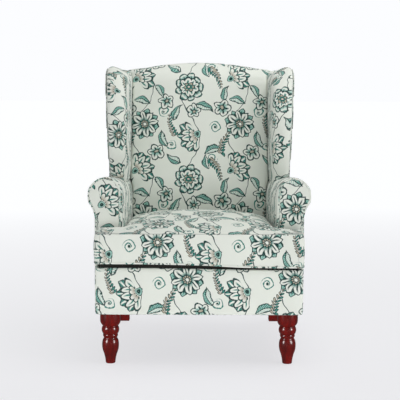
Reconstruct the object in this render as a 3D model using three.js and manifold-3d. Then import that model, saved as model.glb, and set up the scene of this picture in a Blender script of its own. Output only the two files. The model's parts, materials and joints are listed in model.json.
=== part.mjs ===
// Wingback armchair with rolled arms, turned front legs and a loose T-shaped seat cushion.
// Millimetres, +Z up. The chair faces -Y, and the sitter's left is +X.
// The origin is on the floor, at the middle of the chair's width and depth.
import * as THREE from 'three';
import { mergeVertices } from 'three/addons/utils/BufferGeometryUtils.js';
import Module from 'manifold-3d';

const wasm = await Module();
wasm.setup();

// Clearances
const seatGap = 0.3;          // between pieces that rest on, or are fixed to, each other
const cutOverrun = 20;        // how far a cutting solid runs past what it cuts

// Clear width and height that the rest is built round
const armInnerFront = 260.5;  // half the clear width between the arms, at the front
const baseClearHeight = 173;  // floor to the underside of the upholstered base

// Base and its front border
const armBaseWidth = 79.5;    // from the clear width out to the face of the base
const borderHeight = 161;
const borderThick = 12;
const borderSetback = 12;     // the border's face stands this far behind the cushion's
const borderCornerRadius = 14;
const borderEdgeRadius = 5;
const railThick = 25;
const railHeight = 137;
const frontRailSetIn = 3;     // front rail's ends, clear of the cover's round corners
const cornerBlockLeg = 105;
const cornerBlockHeight = 42;
const dustCoverThick = 1.2;
const dustCoverInset = 6;
const dustCoverNotch = 92;    // cut out of each corner, round the legs

// Seat
const cushionLift = 10;       // cushion's underside above the top of the front border
const cushionBoxing = 99;
const cushionCrown = 50;
const cushionOverhang = 5;    // the cushion's ears stand this far outside the base
const cushionCornerRadius = 22;
const cushionInnerRadius = 10;
const cushionBoxingSwell = 4;
const cushionWeltRadius = 3.4;
const cushionPointSpacing = 72; // between the points along its straight edges
const earDepth = 145;         // the cushion's ears reach this far forward of the arms
const seatDepth = 530;        // cushion front to the face of the back, on top of the seat
const deckThick = 19;
const deckEdgeRadius = 6;
const cushionSideGap = 2;     // cushion to arm
const cushionBackGap = 4;

// Seat springs
const springCount = 5;
const springSpacing = 105;
const springBars = 25;        // cross bars in each spring
const springHalfWidth = 24;
const springWireRadius = 1.9;
const springSides = 5;
const springTurnSteps = 3;
const springRise = 5;         // how far the middle of a spring arches above its ends
const clipLength = 22;
const clipWidth = 34;
const clipThick = 1.4;

// Arms
const armTopHeight = 620;
const armHeadRadius = 59;
const armInnerNarrowing = 13.5; // each arm comes in this far by the face of the back
const armTopDrop = 24;        // the arm's top slopes down this far to the rear
const armPadThick = 34;
const armRimInset = 6;        // the pad is drawn in this far at its front rim
const armNeckBelow = 3;       // the neck is this far below the bottom of the scroll's circle
const armRearOverhang = 1;    // what is left of the scroll's overhang at the rear
const outsideArmProud = 11;   // the outside arm stands this far out of the border's face
const facingThick = 10;
const facingInset = 9;
const facingEdgeRadius = 3.5;
const facingTaper = 8;        // the facing's outer edge comes in this far towards its foot
const armWeltRadius = 3.6;
const stumpThick = 22;
const stumpInset = 2;
const sideBoardThick = 18;
const sideBoardInset = 19;    // boards of the arms and wings, inside the face of the base
const armRailHeight = 45;

// Back
const backTuck = 7;           // the back reaches this far past the arms' inner faces
const backTopHeight = 1013;
const backArch = 30;
const backCornerDrop = 12;
const backAngle = 12.4;       // degrees, face of the back
const backPadThick = 86;
const backCrown = 12;
const backSideRound = 20;
const backTopRound = 46;
const outsideBackAngle = 3.5; // degrees
const outsideBackThick = 8;
const outsideBackArch = 20;
const outsideShoulderDrop = 51; // outside back's shoulders below the top of the back
const backFootDepth = 183;    // face of the back above the seat to the foot of the outside back
const rearFootKick = 62;      // rear feet stand this far behind the foot of the outside back
const postWidth = 40;
const postDepth = 45;
const crestRailHeight = 64;
const crestRiseLength = 50;   // the crest rail rises to its arch over this length at each end
const crestCover = 4;         // least padding over the crest rail and the posts
const outsideBackDrop = 1;    // outside back's top edge below the pad's rear edge
const tackRailHeight = 45;
const webCount = 3;
const webWidth = 60;
const webThick = 2;

// Wings
const wingInnerStep = 1.5;    // wing's inner face outside the arm's, at the front
const wingBackGap = 3.5;      // wing to the side of the back
const wingOuterInset = 13;    // wing's outer face inside the face of the base, at its foot
const wingFlare = 18;
const wingTopDrop = 17;       // wing's highest point below the top of the back
const wingRearTopDrop = 49;   // the same where the wing meets the outside back
const wingFootY = 14;
const wingBulge = 26;         // the front edge swells this far forward of its foot
const wingTopSetback = 122;   // the highest point stands this far behind the foot
const wingFrontRound = 30;
const wingInnerTopDrop = 26;
const wingOuterTopDrop = 9;
const wingFrameInset = 32;
const outsideWingThick = 5;

// Legs
const frontLegInset = 44;     // leg's axis inside the face of the base
const frontLegSetback = 50;   // leg's axis behind the face of the border
const frontLegRadius = 34.5;
const rearLegTop = 47;
const rearLegFoot = 39;
const rearLegInset = 18;      // leg's outer face inside the face of the base
const legSegments = 20;
const glideRadius = 11;
const glideFlatRadius = 8;
const glideHeight = 4;
const boltRadius = 4;
const boltInLeg = 34;
const boltInFrame = 38;
const boltClearance = 0.3;

// Places worked out from the sizes above
const tangent = (degrees) => Math.tan(THREE.MathUtils.degToRad(degrees));
const mix = THREE.MathUtils.lerp;
const baseHalfWidth = armInnerFront + armBaseWidth;
const armInnerRear = armInnerFront - armInnerNarrowing; // half the clear width at the back's face
const cushionHalfWidth = baseHalfWidth + cushionOverhang;
const outsideArmHalfWidth = baseHalfWidth + outsideArmProud;
const sideBoardHalfWidth = baseHalfWidth - sideBoardInset;
const backHalfWidth = armInnerRear + backTuck;
const wingInnerFront = armInnerFront + wingInnerStep;
const wingInnerRear = backHalfWidth + wingBackGap;
const wingOuterFoot = baseHalfWidth - wingOuterInset;
const frontLegX = baseHalfWidth - frontLegInset;
const rearLegInnerX = baseHalfWidth - rearLegInset - rearLegTop;
const chairDepth = seatDepth + backFootDepth + rearFootKick;
const cushionFrontY = -chairDepth / 2;
const rearFootY = chairDepth / 2;
const borderFrontY = cushionFrontY + borderSetback;
const borderTop = baseClearHeight + borderHeight;
const cushionBottom = borderTop + cushionLift;
const cushionEdgeTop = cushionBottom + cushionBoxing;
const crownTop = cushionEdgeTop + cushionCrown;
const deckTop = cushionBottom - seatGap;
const deckBottom = deckTop - deckThick;
const armFrontY = cushionFrontY + earDepth;
const seatBackY = cushionFrontY + seatDepth;
const railBottom = baseClearHeight;
const railTop = railBottom + railHeight;
const railOuterX = baseHalfWidth - borderThick - seatGap;
const railInnerX = railOuterX - railThick;
const frontRailY = borderFrontY + borderThick + seatGap;
const backFootY = rearFootY - rearFootKick;
const outsideBackSlope = tangent(outsideBackAngle);
const insideBackSlope = tangent(backAngle);
const outsideBackY = (z) => backFootY + (z - baseClearHeight) * outsideBackSlope;
const insideBackY = (z) => seatBackY + Math.max(0, z - crownTop) * insideBackSlope;
const rearRailBackY = outsideBackY(railBottom) - outsideBackThick - seatGap;
const rearRailFrontY = rearRailBackY - railThick;
const sideRailFrontY = frontRailY + railThick + seatGap;
const sideRailBackY = rearRailFrontY - seatGap;
const outsideShoulderHeight = backTopHeight - outsideShoulderDrop;
const wingTopHeight = backTopHeight - wingTopDrop;
const wingRearTopHeight = backTopHeight - wingRearTopDrop;
const postTop = wingRearTopHeight - wingOuterTopDrop - 3 * crestCover;
const postTopFrontY = outsideBackY(postTop) - outsideBackThick - seatGap - postDepth;
const postSeatFrontY = seatBackY + backPadThick;
const postSlope = (postTopFrontY - postSeatFrontY) / (postTop - crownTop);
const postFrontY = (z) => postSeatFrontY + (z - crownTop) * postSlope;
const headX = armInnerFront + armHeadRadius;
const headZ = armTopHeight - armHeadRadius;
const armLipZ = headZ - armHeadRadius - armNeckBelow;
const armPadFrontY = armFrontY + facingEdgeRadius;
const armPadRearY = outsideBackY(armLipZ) - outsideBackThick - seatGap;
const facingBackY = armFrontY + facingThick;
const stumpFrontY = facingBackY + seatGap;
const stumpBackY = stumpFrontY + stumpThick;
const sideBoardInnerX = sideBoardHalfWidth - sideBoardThick;
const armRailBottom = armLipZ - seatGap;
const armRailTop = armRailBottom + armRailHeight;
const outsideArmInnerX = railOuterX + seatGap;
const postInnerX = sideBoardHalfWidth - postWidth;
const legTop = railBottom - seatGap;

// Materials, in the photographed colours
const paint = (color, roughness, metalness = 0) =>
  new THREE.MeshStandardMaterial({ color, roughness, metalness });
const floralFabric = paint(0xd9d8ca, 0.9);
const deckFabric = paint(0xd2cfc0, 0.95);
const plainFabric = paint(0x2b2b2d, 0.95);
const lacqueredWood = paint(0x5e1a17, 0.25);
const frameWood = paint(0xc9a878, 0.7);
const webbing = paint(0x3a3a3c, 0.9);
const springSteel = paint(0x8d8f92, 0.35, 0.9);
const nylon = paint(0xe4e2dc, 0.45);

const chair = new THREE.Group();

// Closed mesh of three.js to a solid that can be cut, and back
function solidOf(geometry) {
  const bare = geometry.clone();
  bare.deleteAttribute('normal');
  bare.deleteAttribute('uv');
  const merged = mergeVertices(bare);
  const vertProperties = new Float32Array(merged.attributes.position.array);
  const triVerts = new Uint32Array(merged.index.array);
  return new wasm.Manifold(new wasm.Mesh({ numProp: 3, vertProperties, triVerts }));
}

function geometryOf(solid) {
  const mesh = solid.getMesh();
  const geometry = new THREE.BufferGeometry();
  geometry.setAttribute('position', new THREE.BufferAttribute(new Float32Array(mesh.vertProperties), 3));
  geometry.setIndex(new THREE.BufferAttribute(new Uint32Array(mesh.triVerts), 1));
  return geometry;
}

function cut(geometry, ...tools) {
  const start = solidOf(geometry);
  return geometryOf(tools.reduce((solid, tool) => solid.subtract(solidOf(tool)), start));
}

function join(geometry, ...others) {
  const start = solidOf(geometry);
  return geometryOf(others.reduce((solid, other) => solid.add(solidOf(other)), start));
}

// Turns a mesh over to the other side of the chair
function mirrored(geometry) {
  const copy = geometry.index ? geometry.clone() : mergeVertices(geometry);
  copy.deleteAttribute('normal');
  copy.deleteAttribute('uv');
  const position = copy.attributes.position;
  for (let i = 0; i < position.count; i += 1) position.setX(i, -position.getX(i));
  const index = copy.index.array;
  for (let i = 0; i < index.length; i += 3) {
    const keep = index[i];
    index[i] = index[i + 1];
    index[i + 1] = keep;
  }
  return copy;
}

function addPiece(name, geometry, material) {
  const shown = geometry.clone();
  shown.computeVertexNormals();
  const mesh = new THREE.Mesh(shown, material);
  mesh.name = name;
  chair.add(mesh);
}

// The same piece on the sitter's left (+X) and right
function addPair(name, geometry, material) {
  addPiece(`${name}_left`, geometry, material);
  addPiece(`${name}_right`, mirrored(geometry), material);
}

function moveEach(geometry, move) {
  const position = geometry.attributes.position;
  const point = new THREE.Vector3();
  for (let i = 0; i < position.count; i += 1) {
    point.fromBufferAttribute(position, i);
    move(point);
    position.setXYZ(i, point.x, point.y, point.z);
  }
  return geometry;
}

// Leans a piece back by a slope, about a height
const leaned = (geometry, slope, height) =>
  moveEach(geometry, (p) => { p.y += slope * (p.z - height); });

const polygon = (points) => new THREE.Shape(points.map(([u, v]) => new THREE.Vector2(u, v)));

function extruded(shape, thick, edgeRadius) {
  const rounded = edgeRadius > 0;
  return new THREE.ExtrudeGeometry(shape, {
    depth: rounded ? thick - 2 * edgeRadius : thick,
    bevelEnabled: rounded,
    bevelThickness: edgeRadius,
    bevelSize: edgeRadius,
    bevelOffset: -edgeRadius,
    bevelSegments: 2,
    curveSegments: 6,
  }).translate(0, 0, rounded ? edgeRadius : 0);
}

// Boards by the view that shows their outline: plan (x, y), front (x, z) and side (y, z)
const planBoard = (shape, z, thick, edgeRadius = 0) =>
  extruded(shape, thick, edgeRadius).translate(0, 0, z);

const frontBoard = (shape, y, thick, edgeRadius = 0) =>
  extruded(shape, thick, edgeRadius).rotateX(Math.PI / 2).translate(0, y + thick, 0);

function sideBoard(shape, x, thick, edgeRadius = 0) {
  const turn = new THREE.Matrix4().makeBasis(
    new THREE.Vector3(0, 1, 0), new THREE.Vector3(0, 0, 1), new THREE.Vector3(1, 0, 0));
  return extruded(shape, thick, edgeRadius).applyMatrix4(turn).translate(x, 0, 0);
}

function box(x0, x1, y0, y1, z0, z1) {
  return new THREE.BoxGeometry(x1 - x0, y1 - y0, z1 - z0)
    .translate((x0 + x1) / 2, (y0 + y1) / 2, (z0 + z1) / 2);
}

function cylinder(radius, x, y, z0, z1) {
  return new THREE.CylinderGeometry(radius, radius, z1 - z0, legSegments)
    .rotateX(Math.PI / 2).translate(x, y, (z0 + z1) / 2);
}

// A closed skin through rings with the same number of points. Its ends are closed by a fan round
// a hub where one is given, and otherwise by the triangles of the flat outline.
function loft(rings, flat, hub) {
  const count = rings[0].length;
  const corners = rings.flat().flatMap((p) => [p.x, p.y, p.z]);
  const faces = [];
  for (let r = 0; r + 1 < rings.length; r += 1) {
    for (let i = 0; i < count; i += 1) {
      const a = r * count + i;
      const b = r * count + (i + 1) % count;
      faces.push(a, b, b + count, a, b + count, a + count);
    }
  }
  const last = (rings.length - 1) * count;
  if (hub) {
    const [start, end] = [hub(rings[0]), hub(rings.at(-1))];
    const middle = corners.length / 3;
    corners.push(start.x, start.y, start.z, end.x, end.y, end.z);
    for (let i = 0; i < count; i += 1) {
      const next = (i + 1) % count;
      faces.push(next, i, middle, last + i, last + next, middle + 1);
    }
  } else {
    for (const [a, b, c] of capFaces(rings[0], flat)) faces.push(c, b, a);
    for (const [a, b, c] of capFaces(rings.at(-1), flat)) faces.push(last + a, last + b, last + c);
  }
  const geometry = new THREE.BufferGeometry();
  geometry.setAttribute('position', new THREE.Float32BufferAttribute(corners, 3));
  geometry.setIndex(faces);
  return facingOut(geometry);
}

// The middle of a ring's points
const ringMiddle = (ring) => ring.reduce((sum, p) => sum.add(p), new THREE.Vector3())
  .divideScalar(ring.length);

// Triangles that close a ring, wound the same way as the ring runs. Its outline is bowed a little
// first, so that no three points lie in line and each of them keeps its triangles.
const capBowShare = 0.01;
function capFaces(ring, flat) {
  const outline = ring.map((p) => flat(p));
  const bow = capBowShare / Math.max(...outline.flat().map(Math.abs));
  const contour = outline.map(([u, v]) => new THREE.Vector2(u + bow * v * v, v + bow * u * u));
  const reversed = THREE.ShapeUtils.isClockWise(contour);
  return THREE.ShapeUtils.triangulateShape(contour, [])
    .map(([a, b, c]) => (reversed ? [c, b, a] : [a, b, c]));
}

// Turns the faces of a closed skin outwards where they point in
function facingOut(geometry) {
  const position = geometry.attributes.position;
  const index = geometry.index.array;
  const [a, b, c] = [new THREE.Vector3(), new THREE.Vector3(), new THREE.Vector3()];
  let volume = 0;
  for (let i = 0; i < index.length; i += 3) {
    a.fromBufferAttribute(position, index[i]);
    b.fromBufferAttribute(position, index[i + 1]);
    c.fromBufferAttribute(position, index[i + 2]);
    volume += a.dot(b.cross(c));
  }
  if (volume < 0) {
    for (let i = 0; i < index.length; i += 3) {
      const keep = index[i];
      index[i] = index[i + 1];
      index[i + 1] = keep;
    }
  }
  return geometry;
}

// A round tube along points that lie close to one plane with the given normal
function tube(points, radius, sides, up, closed = false) {
  const rings = points.map((point, i) => {
    const before = points[closed ? (i - 1 + points.length) % points.length : Math.max(i - 1, 0)];
    const after = points[closed ? (i + 1) % points.length : Math.min(i + 1, points.length - 1)];
    const along = after.clone().sub(before).normalize();
    const across = new THREE.Vector3().crossVectors(along, up).normalize();
    const over = new THREE.Vector3().crossVectors(across, along).normalize();
    return Array.from({ length: sides }, (_, k) => {
      const angle = (2 * Math.PI * k) / sides;
      return point.clone()
        .addScaledVector(across, radius * Math.cos(angle))
        .addScaledVector(over, radius * Math.sin(angle));
    });
  });
  if (closed) return ringed(rings);
  const [start, first] = points;
  const along = first.clone().sub(start).normalize();
  const across = new THREE.Vector3().crossVectors(along, up).normalize();
  const over = new THREE.Vector3().crossVectors(across, along).normalize();
  return loft(rings, (p) => [p.dot(across), p.dot(over)]);
}

// A closed skin through rings that join up end to end
function ringed(rings) {
  const count = rings[0].length;
  const faces = [];
  for (let r = 0; r < rings.length; r += 1) {
    const next = (r + 1) % rings.length;
    for (let i = 0; i < count; i += 1) {
      const j = (i + 1) % count;
      faces.push(r * count + i, r * count + j, next * count + j);
      faces.push(r * count + i, next * count + j, next * count + i);
    }
  }
  const geometry = new THREE.BufferGeometry();
  const corners = rings.flat().flatMap((p) => [p.x, p.y, p.z]);
  geometry.setAttribute('position', new THREE.Float32BufferAttribute(corners, 3));
  geometry.setIndex(faces);
  return facingOut(geometry);
}

// Outline of the rolled arm seen from the front, drawn in by an inset, from a foot height up
const scrollTurn = THREE.MathUtils.degToRad(35);
const scrollTuckShare = 0.47; // how far down its run to the neck the scroll's underside turns in
function scrollOutline(inset, foot, footTaper) {
  const radius = armHeadRadius - inset;
  const neckX = outsideArmHalfWidth - inset / 2;
  const startX = headX + radius * Math.cos(scrollTurn);
  const startZ = headZ - radius * Math.sin(scrollTurn);
  const neckZ = armLipZ - facingInset;
  const shape = new THREE.Shape();
  shape.moveTo(headX - radius, foot);
  shape.lineTo(headX - radius, headZ);
  shape.absarc(headX, headZ, radius, Math.PI, -scrollTurn, true);
  shape.quadraticCurveTo(neckX, mix(startZ, neckZ, scrollTuckShare), neckX, neckZ);
  shape.lineTo(neckX - footTaper, foot);
  shape.closePath();
  return shape;
}

// Frame of the base: rails, corner blocks and the bolts that hold the legs
const bolt = { front: [frontLegX, borderFrontY + frontLegSetback],
  rear: [rearLegInnerX + rearLegTop / 2, rearRailFrontY + railThick / 2] };
const boltHole = ([x, y]) => cylinder(boltRadius + boltClearance, x, y,
  legTop - boltInLeg - boltClearance, railBottom + boltInFrame + boltClearance);

function buildBaseFrame() {
  const frontHalf = railOuterX - frontRailSetIn;
  addPiece('front_rail', box(-frontHalf, frontHalf, frontRailY, frontRailY + railThick,
    railBottom, railTop), frameWood);
  const rearBlank = box(-railOuterX, railOuterX, rearRailFrontY, rearRailBackY, railBottom, railTop);
  const rearHole = boltHole(bolt.rear);
  addPiece('rear_rail', cut(rearBlank, rearHole, mirrored(rearHole)), frameWood);
  addPair('side_rail', box(railInnerX, railOuterX, sideRailFrontY, sideRailBackY,
    railBottom, railTop), frameWood);
  const cornerX = railInnerX - seatGap;
  const frontCorner = polygon([[cornerX, sideRailFrontY], [cornerX, sideRailFrontY + cornerBlockLeg],
    [cornerX - cornerBlockLeg, sideRailFrontY]]);
  const rearCorner = polygon([[cornerX, sideRailBackY], [cornerX, sideRailBackY - cornerBlockLeg],
    [cornerX - cornerBlockLeg, sideRailBackY]]);
  const frontBlock = planBoard(frontCorner, railBottom, cornerBlockHeight);
  addPair('front_corner_block', cut(frontBlock, boltHole(bolt.front)), frameWood);
  addPair('rear_corner_block', planBoard(rearCorner, railBottom, cornerBlockHeight), frameWood);
  const shank = ([x, y]) => cylinder(boltRadius, x, y, legTop - boltInLeg, railBottom + boltInFrame);
  addPair('front_leg_bolt', shank(bolt.front), springSteel);
  addPair('rear_leg_bolt', shank(bolt.rear), springSteel);
}

// Turned front legs: cup, bead, ring and vase, as shares of the leg's radius and height
const legTurningShares = [
  [0.43, 0], [0.47, 0.012], [0.484, 0.035], [0.5, 0.066], [0.534, 0.107], [0.579, 0.148], [0.634, 0.19],
  [0.7, 0.225], [0.755, 0.26], [0.797, 0.305], [0.815, 0.355], [0.805, 0.405], [0.765, 0.45], [0.7, 0.48],
  [0.64, 0.505], [0.705, 0.533], [0.728, 0.553], [0.71, 0.573], [0.69, 0.58], [0.77, 0.6], [0.835, 0.635],
  [0.85, 0.665], [0.835, 0.695], [0.79, 0.72], [0.735, 0.737], [0.8, 0.753], [0.9, 0.78], [0.97, 0.812],
  [1, 0.86], [0.995, 0.93], [0.97, 1]];

function buildFrontLegs() {
  const height = legTop - glideHeight - seatGap;
  const foot = glideHeight + seatGap;
  const bore = boltRadius + boltClearance;
  const boreFoot = legTop - boltInLeg - boltClearance;
  const outline = [new THREE.Vector2(0, foot)];
  for (const [radiusShare, heightShare] of legTurningShares) {
    outline.push(new THREE.Vector2(radiusShare * frontLegRadius, foot + heightShare * height));
  }
  outline.push(new THREE.Vector2(bore, legTop), new THREE.Vector2(bore, boreFoot));
  outline.push(new THREE.Vector2(0, boreFoot));
  const [x, y] = bolt.front;
  addPair('front_leg', new THREE.LatheGeometry(outline, legSegments).rotateX(Math.PI / 2)
    .translate(x, y, 0), lacqueredWood);
}

// Square tapered rear legs that rake back
const rearFootCentreY = rearFootY - rearLegFoot / 2;
function buildRearLegs() {
  const foot = glideHeight + seatGap;
  const square = (centreX, centreY, z, size) => [[-1, -1], [1, -1], [1, 1], [-1, 1]].map(([i, j]) =>
    new THREE.Vector3(centreX + i * size / 2, centreY + j * size / 2, z));
  const topCentreY = outsideBackY(baseClearHeight) - rearLegTop / 2 - seatGap;
  const leg = loft([
    square(rearLegInnerX + rearLegFoot / 2, rearFootCentreY, foot, rearLegFoot),
    square(rearLegInnerX + rearLegTop / 2, topCentreY, legTop, rearLegTop),
  ], (p) => [p.x, p.y]);
  addPair('rear_leg', cut(leg, boltHole(bolt.rear)), lacqueredWood);
}

function buildGlides() {
  const outline = [[0, 0], [glideFlatRadius, 0], [glideRadius, glideHeight / 2],
    [glideRadius, glideHeight], [0, glideHeight]].map(([r, z]) => new THREE.Vector2(r, z));
  const glide = (x, y) => new THREE.LatheGeometry(outline, legSegments).rotateX(Math.PI / 2)
    .translate(x, y, 0);
  addPair('front_glide', glide(...bolt.front), nylon);
  addPair('rear_glide', glide(rearLegInnerX + rearLegFoot / 2, rearFootCentreY), nylon);
}

// Sinuous seat springs, each one wire with a clip at either end
function buildSprings() {
  const clipTop = railTop + seatGap + 2 * springWireRadius + clipThick;
  const wireZ = clipTop - clipThick - springWireRadius;
  const startY = frontRailY + railThick / 2;
  const endY = rearRailFrontY + railThick / 2;
  const pitch = (endY - startY) / (springBars - 1);
  const turnRadius = pitch / 2;
  const barHalf = springHalfWidth - springWireRadius - turnRadius;
  const wire = [];
  for (let bar = 0; bar < springBars; bar += 1) {
    const side = bar % 2 === 0 ? 1 : -1;
    wire.push([-side * barHalf, startY + bar * pitch]);
    const steps = bar + 1 < springBars ? springTurnSteps : 1;
    for (let k = 0; k < steps; k += 1) {
      const angle = (Math.PI * k) / springTurnSteps;
      wire.push([side * (barHalf + turnRadius * Math.sin(angle)),
        startY + bar * pitch + turnRadius * (1 - Math.cos(angle))]);
    }
  }
  const arched = (y) => springRise * Math.sin(Math.PI * (y - startY) / (endY - startY));
  const first = -springSpacing * (springCount - 1) / 2;
  for (let n = 0; n < springCount; n += 1) {
    const x = first + n * springSpacing;
    const path = wire.map(([u, y]) => new THREE.Vector3(x + u, y, wireZ + arched(y)));
    const clips = [startY, endY].map((y) => box(x - clipWidth / 2, x + clipWidth / 2,
      y - clipLength / 2, y + clipLength / 2, railTop + seatGap, clipTop));
    const spring = tube(path, springWireRadius, springSides, new THREE.Vector3(0, 0, 1));
    addPiece(`seat_spring_${n + 1}`, join(spring, ...clips), springSteel);
  }
  return clipTop;
}

// Section of a flat pad with rounded edges: across from -half to half, and up from 0
function roundedSection(thick, height, radius) {
  const corners = [[thick / 2 - radius, radius, -Math.PI / 2], [thick / 2 - radius, height - radius, 0],
    [radius - thick / 2, height - radius, Math.PI / 2], [radius - thick / 2, radius, Math.PI]];
  const steps = 2;
  return corners.flatMap(([u, v, start]) => Array.from({ length: steps + 1 }, (_, k) => {
    const angle = start + (Math.PI / 2) * (k / steps);
    return [u + radius * Math.cos(angle), v + radius * Math.sin(angle)];
  }));
}

// Upholstered base: a front border that turns both corners, the padded deck and the dust cover
function buildBaseCover() {
  const backY = armFrontY + facingEdgeRadius - seatGap;
  const radius = borderCornerRadius - borderThick / 2;
  const [middleX, middleY] = [baseHalfWidth - borderThick / 2, borderFrontY + borderThick / 2];
  const path = new THREE.Path();
  path.moveTo(middleX, backY);
  path.lineTo(middleX, middleY + radius);
  path.absarc(middleX - radius, middleY + radius, radius, 0, -Math.PI / 2, true);
  path.lineTo(-middleX + radius, middleY);
  path.absarc(-middleX + radius, middleY + radius, radius, -Math.PI / 2, -Math.PI, true);
  path.lineTo(-middleX, backY);
  const stops = path.getPoints(4).filter((p, i, all) => i === 0 || p.distanceTo(all[i - 1]) > seatGap);
  const section = roundedSection(borderThick, borderHeight, borderEdgeRadius);
  const rings = stops.map((stop, i) => {
    const along = stops[Math.min(i + 1, stops.length - 1)].clone().sub(stops[Math.max(i - 1, 0)]);
    const out = new THREE.Vector2(-along.y, along.x).normalize();
    return section.map(([u, v]) => new THREE.Vector3(stop.x + out.x * u, stop.y + out.y * u,
      baseClearHeight + v));
  });
  addPiece('front_border', loft(rings, null, ringMiddle), floralFabric);

  const [x, y0, y1] = [railOuterX - dustCoverInset, frontRailY + dustCoverInset,
    rearRailBackY - dustCoverInset];
  const notch = dustCoverNotch;
  const quarter = [[x, y0 + notch], [x, y1 - notch], [x - notch, y1 - notch], [x - notch, y1]];
  const front = [[x - notch, y0], [x - notch, y0 + notch]];
  const flip = (points) => points.map(([u, v]) => [-u, v]).reverse();
  const outline = [...front, ...quarter, ...flip(quarter), ...flip(front)];
  const sheet = [railBottom - seatGap - dustCoverThick, railBottom - seatGap].map((z) =>
    outline.map(([u, v]) => new THREE.Vector3(u, v, z)));
  addPiece('dust_cover', loft(sheet, null, ringMiddle), plainFabric);
}

// Half the clear width between the arms at a place along the chair
const armInnerX = (y) => mix(armInnerFront, armInnerRear, (y - armFrontY) / (seatBackY - armFrontY));

// T-shaped outline in plan, with a bar in front of the arms and a stem between them
function teeShape(barHalf, frontY, barBackY, stemHalf, backY, radius, innerRadius) {
  const right = [[barHalf, frontY, radius], [barHalf, barBackY, radius],
    [stemHalf(barBackY), barBackY, innerRadius], [stemHalf(backY), backY, radius]];
  const left = right.map(([x, y, r]) => [-x, y, r]).reverse();
  const corners = [...right, ...left];
  const shape = new THREE.Shape();
  corners.forEach(([x, y, r], i) => {
    const [px, py] = corners.at(i - 1);
    const [nx, ny] = corners[(i + 1) % corners.length];
    const entry = new THREE.Vector2(px - x, py - y).setLength(r);
    const exit = new THREE.Vector2(nx - x, ny - y).setLength(r);
    if (i === 0) shape.moveTo(x + entry.x, y + entry.y);
    else shape.lineTo(x + entry.x, y + entry.y);
    shape.quadraticCurveTo(x, y, x + exit.x, y + exit.y);
  });
  shape.closePath();
  return shape;
}

function buildDeck(springTop) {
  const backY = postFrontY(deckTop) - seatGap;
  const bottom = Math.max(deckBottom, springTop + seatGap);
  const outlineAt = (inset) => teeShape(railOuterX - inset, frontRailY + inset, armFrontY - seatGap - inset,
    (y) => armInnerX(y) - seatGap - inset, backY - inset, deckEdgeRadius, deckEdgeRadius).getPoints(3);
  const rises = [[deckEdgeRadius / 2, bottom], [0, bottom + deckEdgeRadius / 2],
    [0, deckTop - deckEdgeRadius], [deckEdgeRadius / 3, deckTop - deckEdgeRadius / 3],
    [deckEdgeRadius, deckTop]];
  const rings = rises.map(([inset, z]) => outlineAt(inset).slice(0, -1)
    .map((p) => new THREE.Vector3(p.x, p.y, z)));
  addPiece('seat_deck', loft(rings, null, teeHub), deckFabric);
}

// A point of the T that sees its whole outline
const teeHubShare = 0.6;
const teeHub = (ring) => new THREE.Vector3(0, mix(cushionFrontY, armFrontY, teeHubShare), ring[0].z);

// Loose seat cushion: boxed T with a high crown, and the welt round its lower edge
const cushionRingShares = [1, 0.965, 0.9, 0.78, 0.6, 0.38, 0.16];
const boxingShares = [[0, 1], [0.12, 0.4], [0.5, 0], [0.88, 0.4]]; // height, then how far drawn in
const crownFrontShare = 0.5;  // of the depth: the crown has risen by here
const crownFlatShare = 0.62;  // of the depth: it falls again from here
const crownRearShare = 0.6;   // of the crown: what it falls by at the rear
const crownFlatPower = 4;     // how flat the crown stays across the seat
const crownEdgePower = 0.8;   // how round it turns down at the sides
function crownHeight(x, y) {
  const side = Math.min(1, Math.abs(x) / (armInnerX(y) + cushionInnerRadius));
  const along = (y - cushionFrontY) / (seatDepth - cushionBackGap);
  const frontRise = 1 - Math.max(0, 1 - along / crownFrontShare) ** 2;
  const rearFall = 1 - crownRearShare * Math.max(0, (along - crownFlatShare) / (1 - crownFlatShare)) ** 2;
  return cushionCrown * frontRise * rearFall * (1 - side ** crownFlatPower) ** crownEdgePower;
}

function buildCushion() {
  const outlineAt = (inset) => refined(teeShape(cushionHalfWidth - inset, cushionFrontY + inset,
    armFrontY - cushionSideGap - inset, (y) => armInnerX(y) - cushionSideGap - inset,
    seatBackY - cushionBackGap - inset, cushionCornerRadius, cushionInnerRadius)
    .getPoints(4).slice(0, -1));
  const outline = outlineAt(cushionBoxingSwell);
  const wall = boxingShares.map(([rise, inset]) =>
    outlineAt(inset * cushionBoxingSwell).map((p) =>
      new THREE.Vector3(p.x, p.y, cushionBottom + rise * cushionBoxing)));
  const centre = teeHub([{ z: 0 }]);
  const crown = cushionRingShares.map((share) => outline.map((p) => {
    const [x, y] = [p.x * share, mix(centre.y, p.y, share)];
    return new THREE.Vector3(x, y, cushionEdgeTop + (share < 1 ? crownHeight(x, y) : 0));
  }));
  const hubTop = cushionEdgeTop + crownHeight(centre.x, centre.y);
  const hub = (ring) => teeHub([{ z: ring === wall[0] ? cushionBottom : hubTop }]);
  const cushion = loft([...wall, ...crown], null, hub);
  const weltPath = outlineAt(cushionWeltRadius).map((p) =>
    new THREE.Vector3(p.x, p.y, cushionBottom + cushionWeltRadius + seatGap));
  const up = new THREE.Vector3(0, 0, 1);
  const groove = tube(weltPath, cushionWeltRadius + seatGap, 6, up, true);
  addPiece('seat_cushion', cut(cushion, groove), floralFabric);
  addPiece('cushion_welt', tube(weltPath, cushionWeltRadius, 6, up, true), floralFabric);
}

// Adds points to the long straight runs of a closed outline
function refined(points) {
  return points.flatMap((p, i) => {
    const next = points[(i + 1) % points.length];
    const parts = Math.max(1, Math.round(p.distanceTo(next) / cushionPointSpacing));
    return Array.from({ length: parts }, (_, k) => p.clone().lerp(next, k / parts));
  });
}

// Frame of the arms and wings, and the posts and rails of the back
const post = (grow) => leaned(box(postInnerX - grow, sideBoardHalfWidth + grow,
  postFrontY(railTop) - grow, postFrontY(railTop) + postDepth + grow,
  railTop + seatGap - grow, postTop + grow), postSlope, railTop);

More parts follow.
